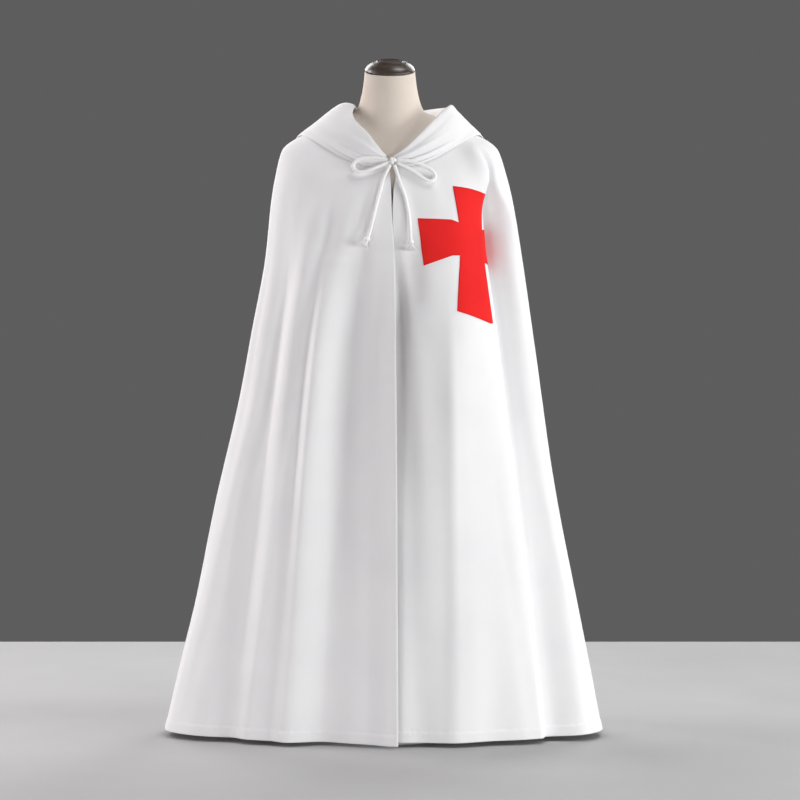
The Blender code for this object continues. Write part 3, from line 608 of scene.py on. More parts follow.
def panel(folds, creases, drags, finer, seed, behind=False, wearers_left=False):
    """Points of one cape panel, with folds, creases and a sewn hem, and the ways out of it."""
    hem_share = HEM_BAND / FALL_LENGTH
    falls = (np.arange(PANEL_ROWS + 1) / PANEL_ROWS) ** ROW_CROWDING * (1.0 - hem_share)
    falls = np.concatenate([falls, 1.0 - hem_share * (1.0 - np.arange(1, HEM_ROWS + 1) / HEM_ROWS)])
    side = [r.left if wearers_left else r.right for r in EDGE_ROWS]
    edge = smooth_through([r.fall for r in EDGE_ROWS], side, falls)
    lines, outs = fold_lines(folds, falls, behind, edge)
    shares, index = [], []
    for i in range(len(folds) - 1):
        steps = folds[i].columns * finer
        shares += [k / steps for k in range(steps)]
        index += [i] * steps
    shares, index = np.array(shares + [1.0]), np.array(index + [len(folds) - 2])
    turn = lines[:, index] + (lines[:, index + 1] - lines[:, index]) * shares
    trim = math.degrees(SEAM_GAP * .5 / SEAM_RADIUS)
    centre = 180.0 if behind else 0.0
    turn = np.clip(turn, centre - 90.0 + trim, centre + 90.0 - trim)
    lift = np.empty_like(turn)
    for j in range(len(falls)):
        order = np.argsort(lines[j], kind="stable")
        knots, keep = np.unique(lines[j][order], return_index=True)
        lift[j] = smooth_through(knots, outs[j][order][keep], turn[j])
    fall = np.broadcast_to(falls[:, None], turn.shape)
    grid = cape_lifted(turn, fall, lift)
    if not behind and not wearers_left:
        near = np.maximum(0.0, 1.0 - np.abs(turn) / RIGHT_HEM_DROP_TURN)
        grid[..., 2] -= RIGHT_HEM_DROP * near ** 2 * fall ** 3
    out = grid_normals(grid)
    if np.mean(out[..., 0] * grid[..., 0] + out[..., 1] * grid[..., 1]) < 0.0:
        out = -out
    relief = crease_relief(turn, fall, creases, drags) + soft_waves(turn, fall, seed) * ease(.05, .2, fall)
    way = lengths_along(grid)
    above = way[-1:] - way
    relief += HEM_RISE * (1.0 - ease(HEM - .0004, HEM + .0024, above))
    pucker = np.sin(turn * 3.1 + np.sin(turn * 1.37) * 2.0) + .6 * np.sin(turn * 5.3 + 1.0)
    relief += HEM_PUCKER * pucker * np.exp(-((above - HEM) / HEM_PUCKER_WIDE) ** 2)
    relief -= HEM_RISE * .5 * np.exp(-((above - HEM) / HEM_GROOVE_WIDE) ** 2)
    return grid + out * relief[..., None], out


def new_object(name, mesh, material):
    item = bpy.data.objects.new(name, mesh)
    bpy.context.scene.collection.objects.link(item)
    mesh.materials.append(material)
    return item


def thicken(item, thickness, side):
    """Make a surface into cloth; side 1 puts all of it outside, 0 half on each side."""
    shell = item.modifiers.new("cloth", "SOLIDIFY")
    shell.thickness = thickness
    shell.offset = side
    return item


def grid_object(name, grid, outward, material, thickness, side):
    """Cloth: a smooth grid, its weave laid out in metres, thickened to a thin closed shell."""
    rows, columns = grid.shape[:2]
    n = np.arange(rows * columns).reshape(rows, columns)
    faces = np.stack([n[:-1, :-1], n[1:, :-1], n[1:, 1:], n[:-1, 1:]], axis=-1).reshape(-1, 4)
    a, b, c = (grid.reshape(-1, 3)[faces[:, k]] for k in (0, 1, 3))
    turned_in = np.sum(np.cross(b - a, c - a) * outward[:-1, :-1].reshape(-1, 3)) < 0.0
    if turned_in:
        faces = faces[:, ::-1]
    mesh = bpy.data.meshes.new(name)
    mesh.from_pydata(grid.reshape(-1, 3).tolist(), [], faces.tolist())
    u, v = cloth_way(grid)
    layer = mesh.uv_layers.new(name="weave")
    flat = np.stack([u, v], axis=-1).reshape(-1, 2)[faces.reshape(-1)]
    layer.data.foreach_set("uv", flat.reshape(-1))
    mesh.shade_smooth()
    return thicken(new_object(name, mesh, material), thickness, side)


def catmull(points, at):
    """Smooth route through rows of values; at runs from 0 to the number of rows less one."""
    points, at = np.asarray(points, float), np.asarray(at, float)
    padded = np.concatenate([[2.0 * points[0] - points[1]], points, [2.0 * points[-1] - points[-2]]])
    i = np.minimum(len(points) - 2, at.astype(int))
    t = (at - i).reshape((-1,) + (1,) * (points.ndim - 1))
    a, b, c, d = (padded[i + k] for k in range(4))
    m0, m1 = (c - a) * .5, (d - b) * .5
    return (b * (2 * t ** 3 - 3 * t ** 2 + 1) + m0 * (t ** 3 - 2 * t ** 2 + t)
            + c * (3 * t ** 2 - 2 * t ** 3) + m1 * (t ** 3 - t ** 2))


def hood_grid(wearers_left):
    """Points of one hood half: columns round the neck, rows from the neck seam to the free edge."""
    pulls = HOOD_LEFT_PULLS if wearers_left else HOOD_RIGHT_PULLS
    sign = 1.0 if wearers_left else -1.0
    net = []
    for station, pull in zip(HOOD_STATIONS, pulls):
        ways = [(SEAM_SHARE, SEAM_LIFT), *station[1:]]
        shifts = [(0.0, 0.0), *pull, (0.0, 0.0), (0.0, 0.0)]
        net.append([(station.turn, *way, *shift) for way, shift in zip(ways, shifts)])
    net.append([(360.0 - p[0], *p[1:]) for p in net[-2]])
    ways, stations = len(net[0]) - 1, len(HOOD_STATIONS) - 1
    down = catmull(np.swapaxes(np.array(net), 0, 1), np.arange(ways * WAY_ROWS + 1) / WAY_ROWS)
    fine = catmull(np.swapaxes(down, 0, 1), np.arange(stations * STATION_COLUMNS + 1) / STATION_COLUMNS)
    turn, fall, lift, shift, rise = np.moveaxis(np.swapaxes(fine, 0, 1), -1, 0)
    v = np.linspace(0.0, 1.0, turn.shape[0])[:, None]
    u = np.linspace(0.0, 1.0, turn.shape[1])[None, :]
    lift = lift + hood_relief(u, v, wearers_left)
    grid = cape_lifted(sign * turn, np.maximum(0.0, fall), lift)
    grid[..., 0] += sign * shift
    grid[..., 2] += rise
    grid[:, -1, 0] = sign * SEAM_GAP
    return grid


def hood_relief(u, v, wearers_left):
    """Gathers beside the tie and slack creases on the hood, kept off the seam and the free edge."""
    keep = ease(.10, .3, v) * (1.0 - ease(.90, 1.0, v) * .6)
    phase = HOOD_WAVE_LEFT if wearers_left else HOOD_WAVE_RIGHT
    waves = np.sin(math.pi * (u * HOOD_WAVES_ROUND + v * HOOD_WAVES_DOWN + phase))
    slack = HOOD_WAVE * waves * ease(.25, .45, u)
    for c in HOOD_SLACKS:
        ridge = np.exp(-((u - c.at - c.slope * v) / c.wide) ** 2)
        slack = slack + c.depth * ridge * ease(c.start, c.full, v)
    wrinkles = np.zeros_like(u * v)
    for c in HOOD_LEFT_WRINKLES if wearers_left else HOOD_RIGHT_WRINKLES:
        fade = ease(.0, .03, u) * (1.0 - ease(c.reach * .45, c.reach, u))
        wrinkles = wrinkles + c.depth * fade * np.exp(-((v - c.at - c.slope * u) / c.wide) ** 2)
    return (slack + wrinkles) * keep


def mesh_piece(name, verts, faces, material, smooth=True):
    mesh = bpy.data.meshes.new(name)
    mesh.from_pydata([tuple(v) for v in verts], [], [tuple(f) for f in faces])
    if smooth:
        mesh.shade_smooth()
    return new_object(name, mesh, material)


def settle(item, node=None):
    """Let a piece ride on the one body, in place of a CAD node if it has one."""
    if node:
        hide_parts(node)
    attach(item, "root")
    return item


def tube_faces(rows, columns, start=0, flip=False):
    """Faces of a tube of rings, with both ends closed."""
    faces = []
    for k in range(rows - 1):
        for m in range(columns):
            a, b = start + k * columns + m, start + k * columns + (m + 1) % columns
            faces.append((a, b, b + columns, a + columns))
    last = start + (rows - 1) * columns
    faces.append(tuple(reversed(range(start, start + columns))))
    faces.append(tuple(range(last, last + columns)))
    return [f[:1] + f[:0:-1] for f in faces] if flip else faces


def front_depth(x, z, grids):
    """Depth of the cape's front at a place, read from the panels' rows."""
    grid = grids[1] if x > KNOT_AT.x else grids[0]
    found = []
    for row in grid[::2]:
        at = row[0]
        a, b = row[:-1], row[1:]
        low, high = np.minimum(a[:, 0], b[:, 0]), np.maximum(a[:, 0], b[:, 0])
        hit = np.nonzero((low <= x) & (x < high) & (a[:, 1] < 0.0))[0]
        if len(hit):
            k = hit[0]
            at = a[k] + (b[k] - a[k]) * (x - a[k, 0]) / (b[k, 0] - a[k, 0])
        found.append(at)
    for high, low in zip(found, found[1:]):
        if low[2] <= z <= high[2]:
            return low[1] + (high[1] - low[1]) * (z - low[2]) / (high[2] - low[2])
    return found[0][1]


def route_points(route, grids):
    return np.array([(p.x, front_depth(p.x, p.z, grids) - WALL - p.out, p.z) for p in route])


def resample(points, step):
    """Points at even steps along a smooth route."""
    fine = catmull(points, np.linspace(0.0, len(points) - 1, 40 * len(points)))
    way = lengths_along(fine)
    count = max(4, round(way[-1] / step))
    return along_at(np.linspace(0.0, way[-1], count + 1), way, fine), way[-1]


def sweep_frames(path):
    """Directions across a path that don't spin as it bends."""
    along = unit(np.gradient(path, axis=0))
    sides = [unit(np.cross(along[0], (0.0, 1.0, .3)))]
    for k in range(1, len(path)):
        sides.append(unit(sides[-1] - along[k] * np.dot(sides[-1], along[k])))
    sides = np.array(sides)
    return sides, np.cross(along, sides)


def twisted_tube(path, diameter, pitch, start=0, segments=CORD_SIDES):
    """Verts and faces of a three-strand twisted cord along a path, with closed ends."""
    side, other = sweep_frames(path)
    angle = np.linspace(0.0, 2.0 * math.pi, segments, endpoint=False)
    third = 2.0 * math.pi / 3.0
    twist = 2.0 * math.pi * lengths_along(path)[:, None] / pitch
    near = (angle - twist + third / 2.0) % third - third / 2.0
    inner = np.maximum(0.0, STRAND ** 2 - (STRAND_OUT * np.sin(near)) ** 2)
    radius = np.maximum(STRAND_OUT * np.cos(near) + np.sqrt(inner), STRAND_DIP) * diameter / 2.0
    rings = path[:, None] + (np.cos(angle) * radius)[..., None] * side[:, None]
    rings = rings + (np.sin(angle) * radius)[..., None] * other[:, None]
    return rings.reshape(-1, 3).tolist(), tube_faces(len(path), segments, start)


def cord_piece(name, points, node, material):
    """One free length of cord, with its path and its length."""
    path, length = resample(points, CORD_STEP)
    verts, faces = twisted_tube(path, CORD, CORD_PITCH)
    return settle(mesh_piece(name, verts, faces, material), node), path, length


def knot_piece(centre, material):
    """The bow's knot: cord wound round the crossing, over a short crosswise strand."""
    turns = np.linspace(-.25, 1.55, 90)
    wrap = centre + np.stack([(turns - .65) * KNOT_STEP,
                              np.cos(turns * 2.0 * math.pi) * KNOT_DEEP,
                              np.sin(turns * 2.0 * math.pi) * KNOT_HIGH], axis=1)
    across = np.linspace(-1.0, 1.0, 24)
    core = centre + np.stack([across * KNOT_HALF,
                              -KNOT_CORE_BOW * np.cos(across * 1.5),
                              KNOT_CORE_SLANT * np.sin(across * 2.0)], axis=1)
    verts, faces = twisted_tube(wrap, KNOT_CORD, KNOT_PITCH)
    more, more_faces = twisted_tube(core, KNOT_CORE, KNOT_PITCH, start=len(verts))
    item = mesh_piece("bow_knot", verts + more, faces + more_faces, material)
    return settle(item, "tie_knot")


def tuft_piece(name, end, way, node, seed, material):
    """A tail's end: a small overhand knot and a frayed tuft that flares like a fishtail below it."""
    rng = np.random.default_rng(seed)
    way = unit(way)
    side = unit(np.cross(way, (0.0, 1.0, 0.0)))
    other = np.cross(way, side)
    root = end + way * TUFT_START

    def across(angle, flat=1.0):
        angle = np.asarray(angle)[..., None]
        return np.cos(angle) * side + np.sin(angle) * flat * other

    def on_tuft(around, t, spread):
        reach = (TUFT_NECK + (TUFT_FLARE - TUFT_NECK) * t ** TUFT_CURVE) * spread
        return root + way * TUFT_LONG * t + across(around, TUFT_FLAT) * reach

    turns = np.linspace(0.0, END_TURNS, 80)
    coil = end + way * (END_START + turns * END_STEP)[:, None] + across(turns * 2.0 * math.pi) * END_RADIUS
    verts, faces = twisted_tube(coil, END_CORD, END_PITCH, segments=END_SIDES)
    faces += tube_faces(TUFT_CORE_ROWS, TUFT_CORE_COLUMNS, len(verts))
    angles = np.arange(TUFT_CORE_COLUMNS) * 2.0 * math.pi / TUFT_CORE_COLUMNS
    for down in np.arange(TUFT_CORE_ROWS) / (TUFT_CORE_ROWS - 1):
        verts += on_tuft(angles, TUFT_CORE * down, .92 - .62 * down ** 2).tolist()
    corners = across(np.arange(STRAND_SIDES) * 2.0 * math.pi / STRAND_SIDES)
    for n in range(TUFT_STRANDS):
        around = 2.0 * math.pi * (n + rng.uniform(-.5, .5)) / TUFT_STRANDS
        drift, spread = rng.uniform(-.22, .22), 1.06 * math.sqrt(rng.uniform(.04, 1.0))
        long, thick = rng.uniform(.84, 1.06), rng.uniform(.00060, .00095)
        faces += tube_faces(STRAND_RINGS, STRAND_SIDES, len(verts))
        for t in long * np.arange(STRAND_RINGS) / (STRAND_RINGS - 1):
            verts += (on_tuft(around + drift * t, t, spread) + corners * thick * (1.0 - .5 * t)).tolist()
    return settle(mesh_piece(name, verts, faces, material), node)


def stitch_row(name, points, normals, material):
    """A row of sewn stitches along points on the cloth, each a small thread sunk at both ends."""
    way = lengths_along(points)
    marks = np.arange(STITCH_PITCH, way[-1] - STITCH_LONG, STITCH_PITCH)
    a, b = along_at(marks, way, points), along_at(marks + STITCH_LONG, way, points)
    high = unit(along_at(marks, way, normals)) * STITCH_WIDE
    side = unit(np.cross(b - a, high)) * STITCH_WIDE
    middle = (a + b) / 2.0 + high * .9
    start, end = middle - (b - a) * .25, middle + (b - a) * .25
    corners = [a - high * .5, start, end, b - high * .5]
    for shift in (side - high, -side - high, -2.0 * high):
        corners += [start + shift, end + shift]
    ring_a, ring_b = (1, 4, 8, 6), (2, 5, 9, 7)
    faces = []
    for base in range(0, len(marks) * len(corners), len(corners)):
        for p, q in ((0, 1), (1, 2), (2, 3), (3, 0)):
            faces.append((base + ring_a[p], base + ring_a[q], base + ring_b[q], base + ring_b[p]))
            faces.append((base, base + ring_a[q], base + ring_a[p]))
            faces.append((base + 3, base + ring_b[p], base + ring_b[q]))
    item = mesh_piece(name, np.stack(corners, axis=1).reshape(-1, 3), faces, material)
    bm = bmesh.new()
    bm.from_mesh(item.data)
    bmesh.ops.recalc_face_normals(bm, faces=bm.faces)
    bm.to_mesh(item.data)
    bm.free()
    item.data.shade_smooth()
    return settle(item)


def edge_line(grid, out, inset):
    """Places an inset in from a grid's first column, and the way out of the cloth there."""
    across = cloth_way(grid)[0]
    places = [along_at(inset, across[j], grid[j]) for j in range(len(grid))]
    ways = [along_at(inset, across[j], out[j]) for j in range(len(grid))]
    return np.array(places), unit(np.array(ways))


def clip(polygon, p, q):
    """Cut a polygon of (s, t, point) corners at a line, keeping its left side."""
    kept = []
    dx, dy = q[0] - p[0], q[1] - p[1]
    for a, b in zip(polygon, polygon[1:] + polygon[:1]):
        da = dx * (a[1] - p[1]) - dy * (a[0] - p[0])
        db = dx * (b[1] - p[1]) - dy * (b[0] - p[0])
        if da >= 0.0:
            kept.append(a)
        if (da >= 0.0) != (db >= 0.0):
            f = da / (da - db)
            kept.append((a[0] + (b[0] - a[0]) * f, a[1] + (b[1] - a[1]) * f, a[2] + (b[2] - a[2]) * f))
    return kept


def cross_parts():
    """The cross's middle and four arms, the upright ones flared less, the inner one's end slanting."""
    r, w, n = CROSS_ROOT, CROSS_FLARE, CROSS_NARROW_FLARE
    return [
        [(-r, -r), (r, -r), (r, r), (-r, r)],
        [(-r, r), (r, r), (n, CROSS_UP), (-n, CROSS_UP)],
        [(-n, -CROSS_DOWN), (n, -CROSS_DOWN), (r, -r), (-r, -r)],
        [(r, -r), (CROSS_SIDE, -w), (CROSS_SIDE, w), (r, r)],
        [(CROSS_SKEW - CROSS_SIDE, -w), (-r, -r), (-r, r), (-CROSS_SIDE, w)],
    ]


def cross_area():
    area = 4.0 * CROSS_ROOT ** 2
    area += (CROSS_ROOT + CROSS_NARROW_FLARE) * (CROSS_UP + CROSS_DOWN - 2.0 * CROSS_ROOT)
    area += (CROSS_ROOT + CROSS_FLARE) * (2.0 * CROSS_SIDE - CROSS_SKEW / 2.0 - 2.0 * CROSS_ROOT)
    return area


def cross_outline(inset):
    """Corners of the cross, moved in by an inset, in order."""
    r, w, n = CROSS_ROOT - inset, CROSS_FLARE - inset, CROSS_NARROW_FLARE - inset
    up, down, side = CROSS_UP - inset, CROSS_DOWN - inset, CROSS_SIDE - inset
    return [(-r, r), (-n, up), (n, up), (r, r), (side, w), (side, -w), (r, -r), (n, -down), (-n, -down),
            (-r, -r), (CROSS_SKEW - side, -w), (-side, w), (-r, r)]


def cross_lengths(grid):
    """Cloth coordinates of each point of a panel, from the cross's upright middle line."""
    way = lengths_along(grid)
    z = grid[..., 2]
    k = np.argmax((z[:-1] >= CROSS_AT_Z) & (z[1:] < CROSS_AT_Z), axis=0)
    i = np.arange(grid.shape[1])
    zero = way[k, i] + (way[k + 1, i] - way[k, i]) * (z[k, i] - CROSS_AT_Z) / (z[k, i] - z[k + 1, i])
    falls = way - zero
    across = cloth_way(grid[..., :2])[0]
    lean = np.maximum(0.0, CROSS_AT_Z + CROSS_ROOT - grid[..., 2])
    past = grid[..., 0] - CROSS_AT_X - CROSS_LEAN * lean
    found = (past[:, :-1] <= 0.0) & (past[:, 1:] > 0.0)
    start = np.where(found.any(axis=1), np.argmax(found, axis=1), grid.shape[1] - 2)
    j = np.arange(len(grid))
    span = np.maximum(.0001, past[j, start + 1] - past[j, start])
    middle = across[j, start] - past[j, start] * (across[j, start + 1] - across[j, start]) / span
    s = across - middle[:, None]
    low = np.maximum(0.0, falls - CROSS_ROOT) / (CROSS_DOWN - CROSS_ROOT)
    droop = (CROSS_DROOP + CROSS_SLANT * low) * np.clip(s, -CROSS_FLARE, CROSS_ROOT)
    droop = droop + CROSS_TIP_DROOP * np.maximum(0.0, -CROSS_FLARE - s)
    return s, droop - falls


def mitred(grid, outward):
    """Ways out of a panel that clear both sides of a hollow."""
    down = np.gradient(grid, axis=0)
    step = np.diff(grid, axis=1)
    before = np.concatenate([step[:, :1], step], axis=1)
    after = np.concatenate([step, step[:, -1:]], axis=1)
    a, b = unit(np.cross(down, before)), unit(np.cross(down, after))
    flip = np.sign(np.sum(a * outward, axis=-1, keepdims=True))
    dot = np.sum(a * b, axis=-1, keepdims=True)
    return flip * (a + b) / np.maximum(.3, 1.0 + dot)


def cross_piece(grid, outward, material):
    """Cross cut from the panel's own surface, moved out of its cloth."""
    s, t = cross_lengths(grid)
    lifted = grid + mitred(grid, outward) * (CLOTH + CROSS_LIFT)
    verts, faces, uvs, index = [], [], [], {}
    reach = max(CROSS_SIDE, CROSS_DOWN, CROSS_UP) + CROSS_MARGIN
    near = (np.abs(s) < reach) & (np.abs(t) < reach)
    for j, i in zip(*np.nonzero(near[:-1, :-1])):
        for last in ((j + 1, i), (j, i + 1)):
            corners = [(j, i), (j + 1, i + 1), last]
            whole = [(s[c], t[c], lifted[c]) for c in corners]
            low_s, high_s = min(c[0] for c in whole), max(c[0] for c in whole)
            low_t, high_t = min(c[1] for c in whole), max(c[1] for c in whole)
            for part in cross_parts():
                if high_s < min(p[0] for p in part) or low_s > max(p[0] for p in part):
                    continue
                if high_t < min(p[1] for p in part) or low_t > max(p[1] for p in part):
                    continue
                piece = whole
                for p, q in zip(part, part[1:] + part[:1]):
                    piece = clip(piece, p, q)
                if len(piece) < 3:
                    continue
                face = []
                for c in piece:
                    key = tuple(np.round(c[2] / (CROSS_WELD / 2.0)).astype(int))
                    if key not in index:
                        index[key] = len(verts)
                        verts.append(tuple(c[2]))
                        uvs.append((c[0], c[1]))
                    if index[key] not in face:
                        face.append(index[key])
                if len(face) > 2:
                    faces.append(face)
    mesh = bpy.data.meshes.new("cross_cloth")
    mesh.from_pydata(verts, [], faces)
    layer = mesh.uv_layers.new(name="weave")
    for loop in mesh.loops:
        layer.data[loop.index].uv = uvs[loop.vertex_index]
    bm = bmesh.new()
    bm.from_mesh(mesh)
    bmesh.ops.remove_doubles(bm, verts=bm.verts, dist=CROSS_WELD)
    bmesh.ops.dissolve_degenerate(bm, dist=CROSS_WELD * .8, edges=bm.edges)
    bmesh.ops.recalc_face_normals(bm, faces=bm.faces)
    facing = sum(f.normal.xy.dot(f.calc_center_median().xy) * f.calc_area() for f in bm.faces)
    if facing < 0.0:
        bmesh.ops.reverse_faces(bm, faces=bm.faces)
    bm.to_mesh(mesh)
    bm.free()
    mesh.shade_smooth()
    item = thicken(new_object("cross_cloth", mesh, material), CROSS_CLOTH, 1.0)
    return settle(item, "cross"), (s, t, lifted)


def on_cloth(field, marks):
    """Places on the cross for pairs of cloth coordinates, with the way out."""
    s, t, lifted = field
    normals = grid_normals(lifted)
    places, ways = [], []
    for a, b in marks:
        j, i = np.unravel_index(np.argmin((s - a) ** 2 + (t - b) ** 2), s.shape)
        j, i = min(max(j, 1), s.shape[0] - 2), min(max(i, 1), s.shape[1] - 2)
        ds = np.array([s[j, i + 1] - s[j, i - 1], t[j, i + 1] - t[j, i - 1]])
        dt = np.array([s[j + 1, i] - s[j - 1, i], t[j + 1, i] - t[j - 1, i]])
        f, g = np.linalg.solve(np.stack([ds, dt], axis=1), np.array([a - s[j, i], b - t[j, i]]))
        across, down = lifted[j, i + 1] - lifted[j, i - 1], lifted[j + 1, i] - lifted[j - 1, i]
        places.append(lifted[j, i] + f * across + g * down)
        ways.append(normals[j, i])
    return np.array(places), np.array(ways)


def ring_rows(rings):
    """Rows of the form from ring to ring, without the last one."""
    knots = ring_knots(rings)
    spans = zip(knots, knots[1:])
    at = np.concatenate([np.linspace(a, b, FORM_ROWS_PER_RING, endpoint=False) for a, b in spans])
    return on_ring(smooth_through(knots, np.array(rings), at)[:, None, :], FORM_TURNS, FORM_SQUARE)


def form_piece(material):
    """Neck, shoulders just inside the cape that rests on them, and torso, as one smooth closed body."""
    falls = np.linspace(0.0, FORM_SEAT_FALL, FORM_SEAT_ROWS)
    seated = cape_lifted(FORM_TURNS, falls[:, None], np.full((FORM_SEAT_ROWS, FORM_COLUMNS), -FORM_SEAT))
    first = Ring(*smooth_through(CAPE_KNOTS, CAPE_TABLE, 0.0))
    last = Ring(*smooth_through(CAPE_KNOTS, CAPE_TABLE, FORM_SEAT_FALL))
    neck = ring_rows(FORM_TOP_RINGS + [first])
    torso = ring_rows([last] + FORM_LOW_RINGS)[2:]
    bottom = on_ring(np.array(FORM_LOW_RINGS[-1:])[:, None, :], FORM_TURNS, FORM_SQUARE)
    rows = np.concatenate([neck, seated, torso, bottom])
    faces = tube_faces(len(rows), FORM_COLUMNS, flip=True)
    item = mesh_piece("form_body", rows.reshape(-1, 3).tolist(), faces, material)
    u, v = cloth_way(np.concatenate([rows, rows[:, :1]], axis=1))
    layer = item.data.uv_layers.new(name="weave")
    for polygon in item.data.polygons[:-2]:
        corners = list(polygon.vertices)
        columns = [c % FORM_COLUMNS for c in corners]
        seam = max(columns) - min(columns) > 1
        for loop, vertex in zip(polygon.loop_indices, corners):
            j, i = divmod(vertex, FORM_COLUMNS)
            if seam and i == 0:
                i = FORM_COLUMNS
            layer.data[loop].uv = (u[j, i], v[j, i])
    edge = item.modifiers.new("edge", "BEVEL")
    edge.width = FORM_EDGE
    edge.segments = FORM_EDGE_STEPS
    edge.limit_method = "ANGLE"
    edge.angle_limit = math.radians(FORM_EDGE_ANGLE)
    return settle(item, "form_torso")


def cap_piece(material):
    """Turned wooden cap on the neck's slanting top."""
    fine = []
    for (r0, z0), (r1, z1) in zip(CAP_PROFILE, CAP_PROFILE[1:]):
        fine += [(r0 + (r1 - r0) * k / 2.0, z0 + (z1 - z0) * k / 2.0) for k in range(2)]
    fine.append(CAP_PROFILE[-1])
    angles = [2.0 * math.pi * k / CAP_COLUMNS for k in range(CAP_COLUMNS)]
    verts = [(r * math.cos(a), r * math.sin(a), z) for r, z in fine for a in angles]
    faces = tube_faces(len(fine), CAP_COLUMNS, flip=True)
    item = mesh_piece("neck_cap", verts, faces, material)
    top = FORM_TOP_RINGS[0]
    tilt = Matrix.Rotation(math.radians(NECK_TILT), 4, "X")
    item.data.transform(Matrix.Translation(Vector((0.0, top.mid, top.z_side))) @ tilt)
    return settle(item, "form_cap")


class Shader:
    """A material's node tree, with short ways to add and join nodes."""

    def __init__(self, name, colour, roughness, **values):
        self.material = bpy.data.materials.new(name)
        self.material.use_nodes = True
        self.tree = self.material.node_tree
        self.main = self.tree.nodes["Principled BSDF"]
        self.main.inputs["Base Color"].default_value = (*colour, 1.0)
        self.main.inputs["Roughness"].default_value = roughness
        for key, value in values.items():
            self.main.inputs[key.replace("_", " ")].default_value = value

    def add(self, kind, **values):
        node = self.tree.nodes.new("ShaderNode" + kind)
        for key, value in values.items():
            if hasattr(node, key):
                setattr(node, key, value)
            else:
                node.inputs[key.replace("_", " ")].default_value = value
        return node

    def join(self, source, target):
        self.tree.links.new(source, target)

    def place(self):
        return self.add("TexCoord").outputs["Object"]

    def stretched(self, place, scale):
        node = self.add("Mapping", Scale=scale)
        self.join(place, node.inputs["Vector"])
        return node.outputs["Vector"]

    def noise(self, place, **values):
        node = self.add("TexNoise", **values)
        self.join(place, node.inputs["Vector"])
        return node.outputs["Fac"]

    def scaled_onto(self, value, scale, base):
        node = self.add("Math", operation="MULTIPLY_ADD")
        node.inputs[1].default_value = scale
        self.join(value, node.inputs[0])
        self.join(base, node.inputs[2])
        return node.outputs["Value"]

    def ramp(self, value, *stops):
        """Base colour from a value: two stops, each a position and a colour."""
        node = self.add("ValToRGB")
        for element, (position, colour) in zip(node.color_ramp.elements, stops):
            element.position = position
            element.color = (*colour, 1.0)
        self.join(value, node.inputs["Fac"])
        self.join(node.outputs["Color"], self.main.inputs["Base Color"])

    def bump(self, height, strength, distance):
        node = self.add("Bump", Strength=strength, Distance=distance)
        self.join(height, node.inputs["Height"])
        self.join(node.outputs["Normal"], self.main.inputs["Normal"])

    def rough(self, value, start, end, low, high):
        node = self.add("MapRange", From_Min=start, From_Max=end, To_Min=low, To_Max=high)
        self.join(value, node.inputs["Value"])
        self.join(node.outputs["Result"], self.main.inputs["Roughness"])


def weave_material(w):
    """Plain-woven cloth: over-and-under threads, slubs, painted shade where the threads lie low, and slight
    random unevenness of colour.
    """
    m = Shader(w.name, w.colour, w.roughness,
               Sheen_Weight=w.sheen, Sheen_Roughness=.5, Specular_IOR_Level=.15)
    laid = m.add("UVMap", uv_map="weave").outputs["UV"]
    checks = m.add("TexChecker", Scale=1.0 / w.pitch)
    m.join(laid, checks.inputs["Vector"])
    over = m.add("Mix", data_type="FLOAT")
    m.join(checks.outputs["Fac"], over.inputs["Factor"])
    for direction, target in (("X", "A"), ("Y", "B")):
        wave = m.add("TexWave", wave_type="BANDS", bands_direction=direction, wave_profile="SIN",
                     Scale=math.pi / (10.0 * w.pitch), Distortion=.6, Detail=1.0, Detail_Scale=.4)
        m.join(laid, wave.inputs["Vector"])
        m.join(wave.outputs["Fac"], over.inputs[target])
    slubs = m.noise(m.stretched(laid, (420.0, 26.0, 1.0)), Scale=1.0, Detail=3.0, Roughness=.6)
    m.bump(m.scaled_onto(slubs, w.slub, over.outputs["Result"]), w.relief, .0003)
    cloud = m.noise(m.place(), Scale=7.0, Detail=4.0, Roughness=.55)
    # Base colour: painted shade toward the low threads, from the thread relief, mixed with random cloud
    # tone
    m.ramp(m.scaled_onto(over.outputs["Result"], .35, cloud), (.30, w.shade), (.85, w.colour))
    return m.material


def cord_material():
    """Cotton cord: fine fibres along the strands, with painted shade making it a little darker where the
    fibres lie low.
    """
    m = Shader("cotton_cord", (.92, .92, .915), .85,
               Sheen_Weight=.2, Sheen_Roughness=.5, Specular_IOR_Level=.15)
    fibre_and_painted_shade = m.noise(m.place(), Scale=900.0, Detail=4.0, Roughness=.65)
    m.bump(fibre_and_painted_shade, .35, .0003)
    # Painted shade: the noise that sinks the fibres also darkens their colour
    m.ramp(fibre_and_painted_shade, (.25, (.88, .88, .875)), (.60, (.97, .97, .965)))
    return m.material


def thread_material(name, light, dark):
    """Sewing thread: twisted plies that catch the light unevenly, painted as noise between a lit colour and
    a shaded one.
    """
    m = Shader(name, light, .75, Sheen_Weight=.1, Sheen_Roughness=.4, Specular_IOR_Level=.25)
    # Painted light and shade: noise mixes the lit colour and the shaded colour
    m.ramp(m.noise(m.place(), Scale=1400.0, Detail=2.0, Roughness=.5), (.35, dark), (.65, light))
    return m.material


def wood_material():
    """Dark stained wood: stretched grain, with roughness that varies along the grain."""
    m = Shader("dark_wood", (.045, .030, .024), .38, Coat_Weight=.25, Coat_Roughness=.25)
    stretched = m.stretched(m.place(), (14.0, 160.0, 160.0))
    grain = m.noise(stretched, Scale=1.0, Detail=6.0, Roughness=.6, Distortion=.4)
    m.ramp(grain, (.30, (.022, .014, .011)), (.75, (.085, .058, .045)))
    m.bump(grain, .15, .0004)
    m.rough(grain, .3, .7, .30, .46)
    return m.material


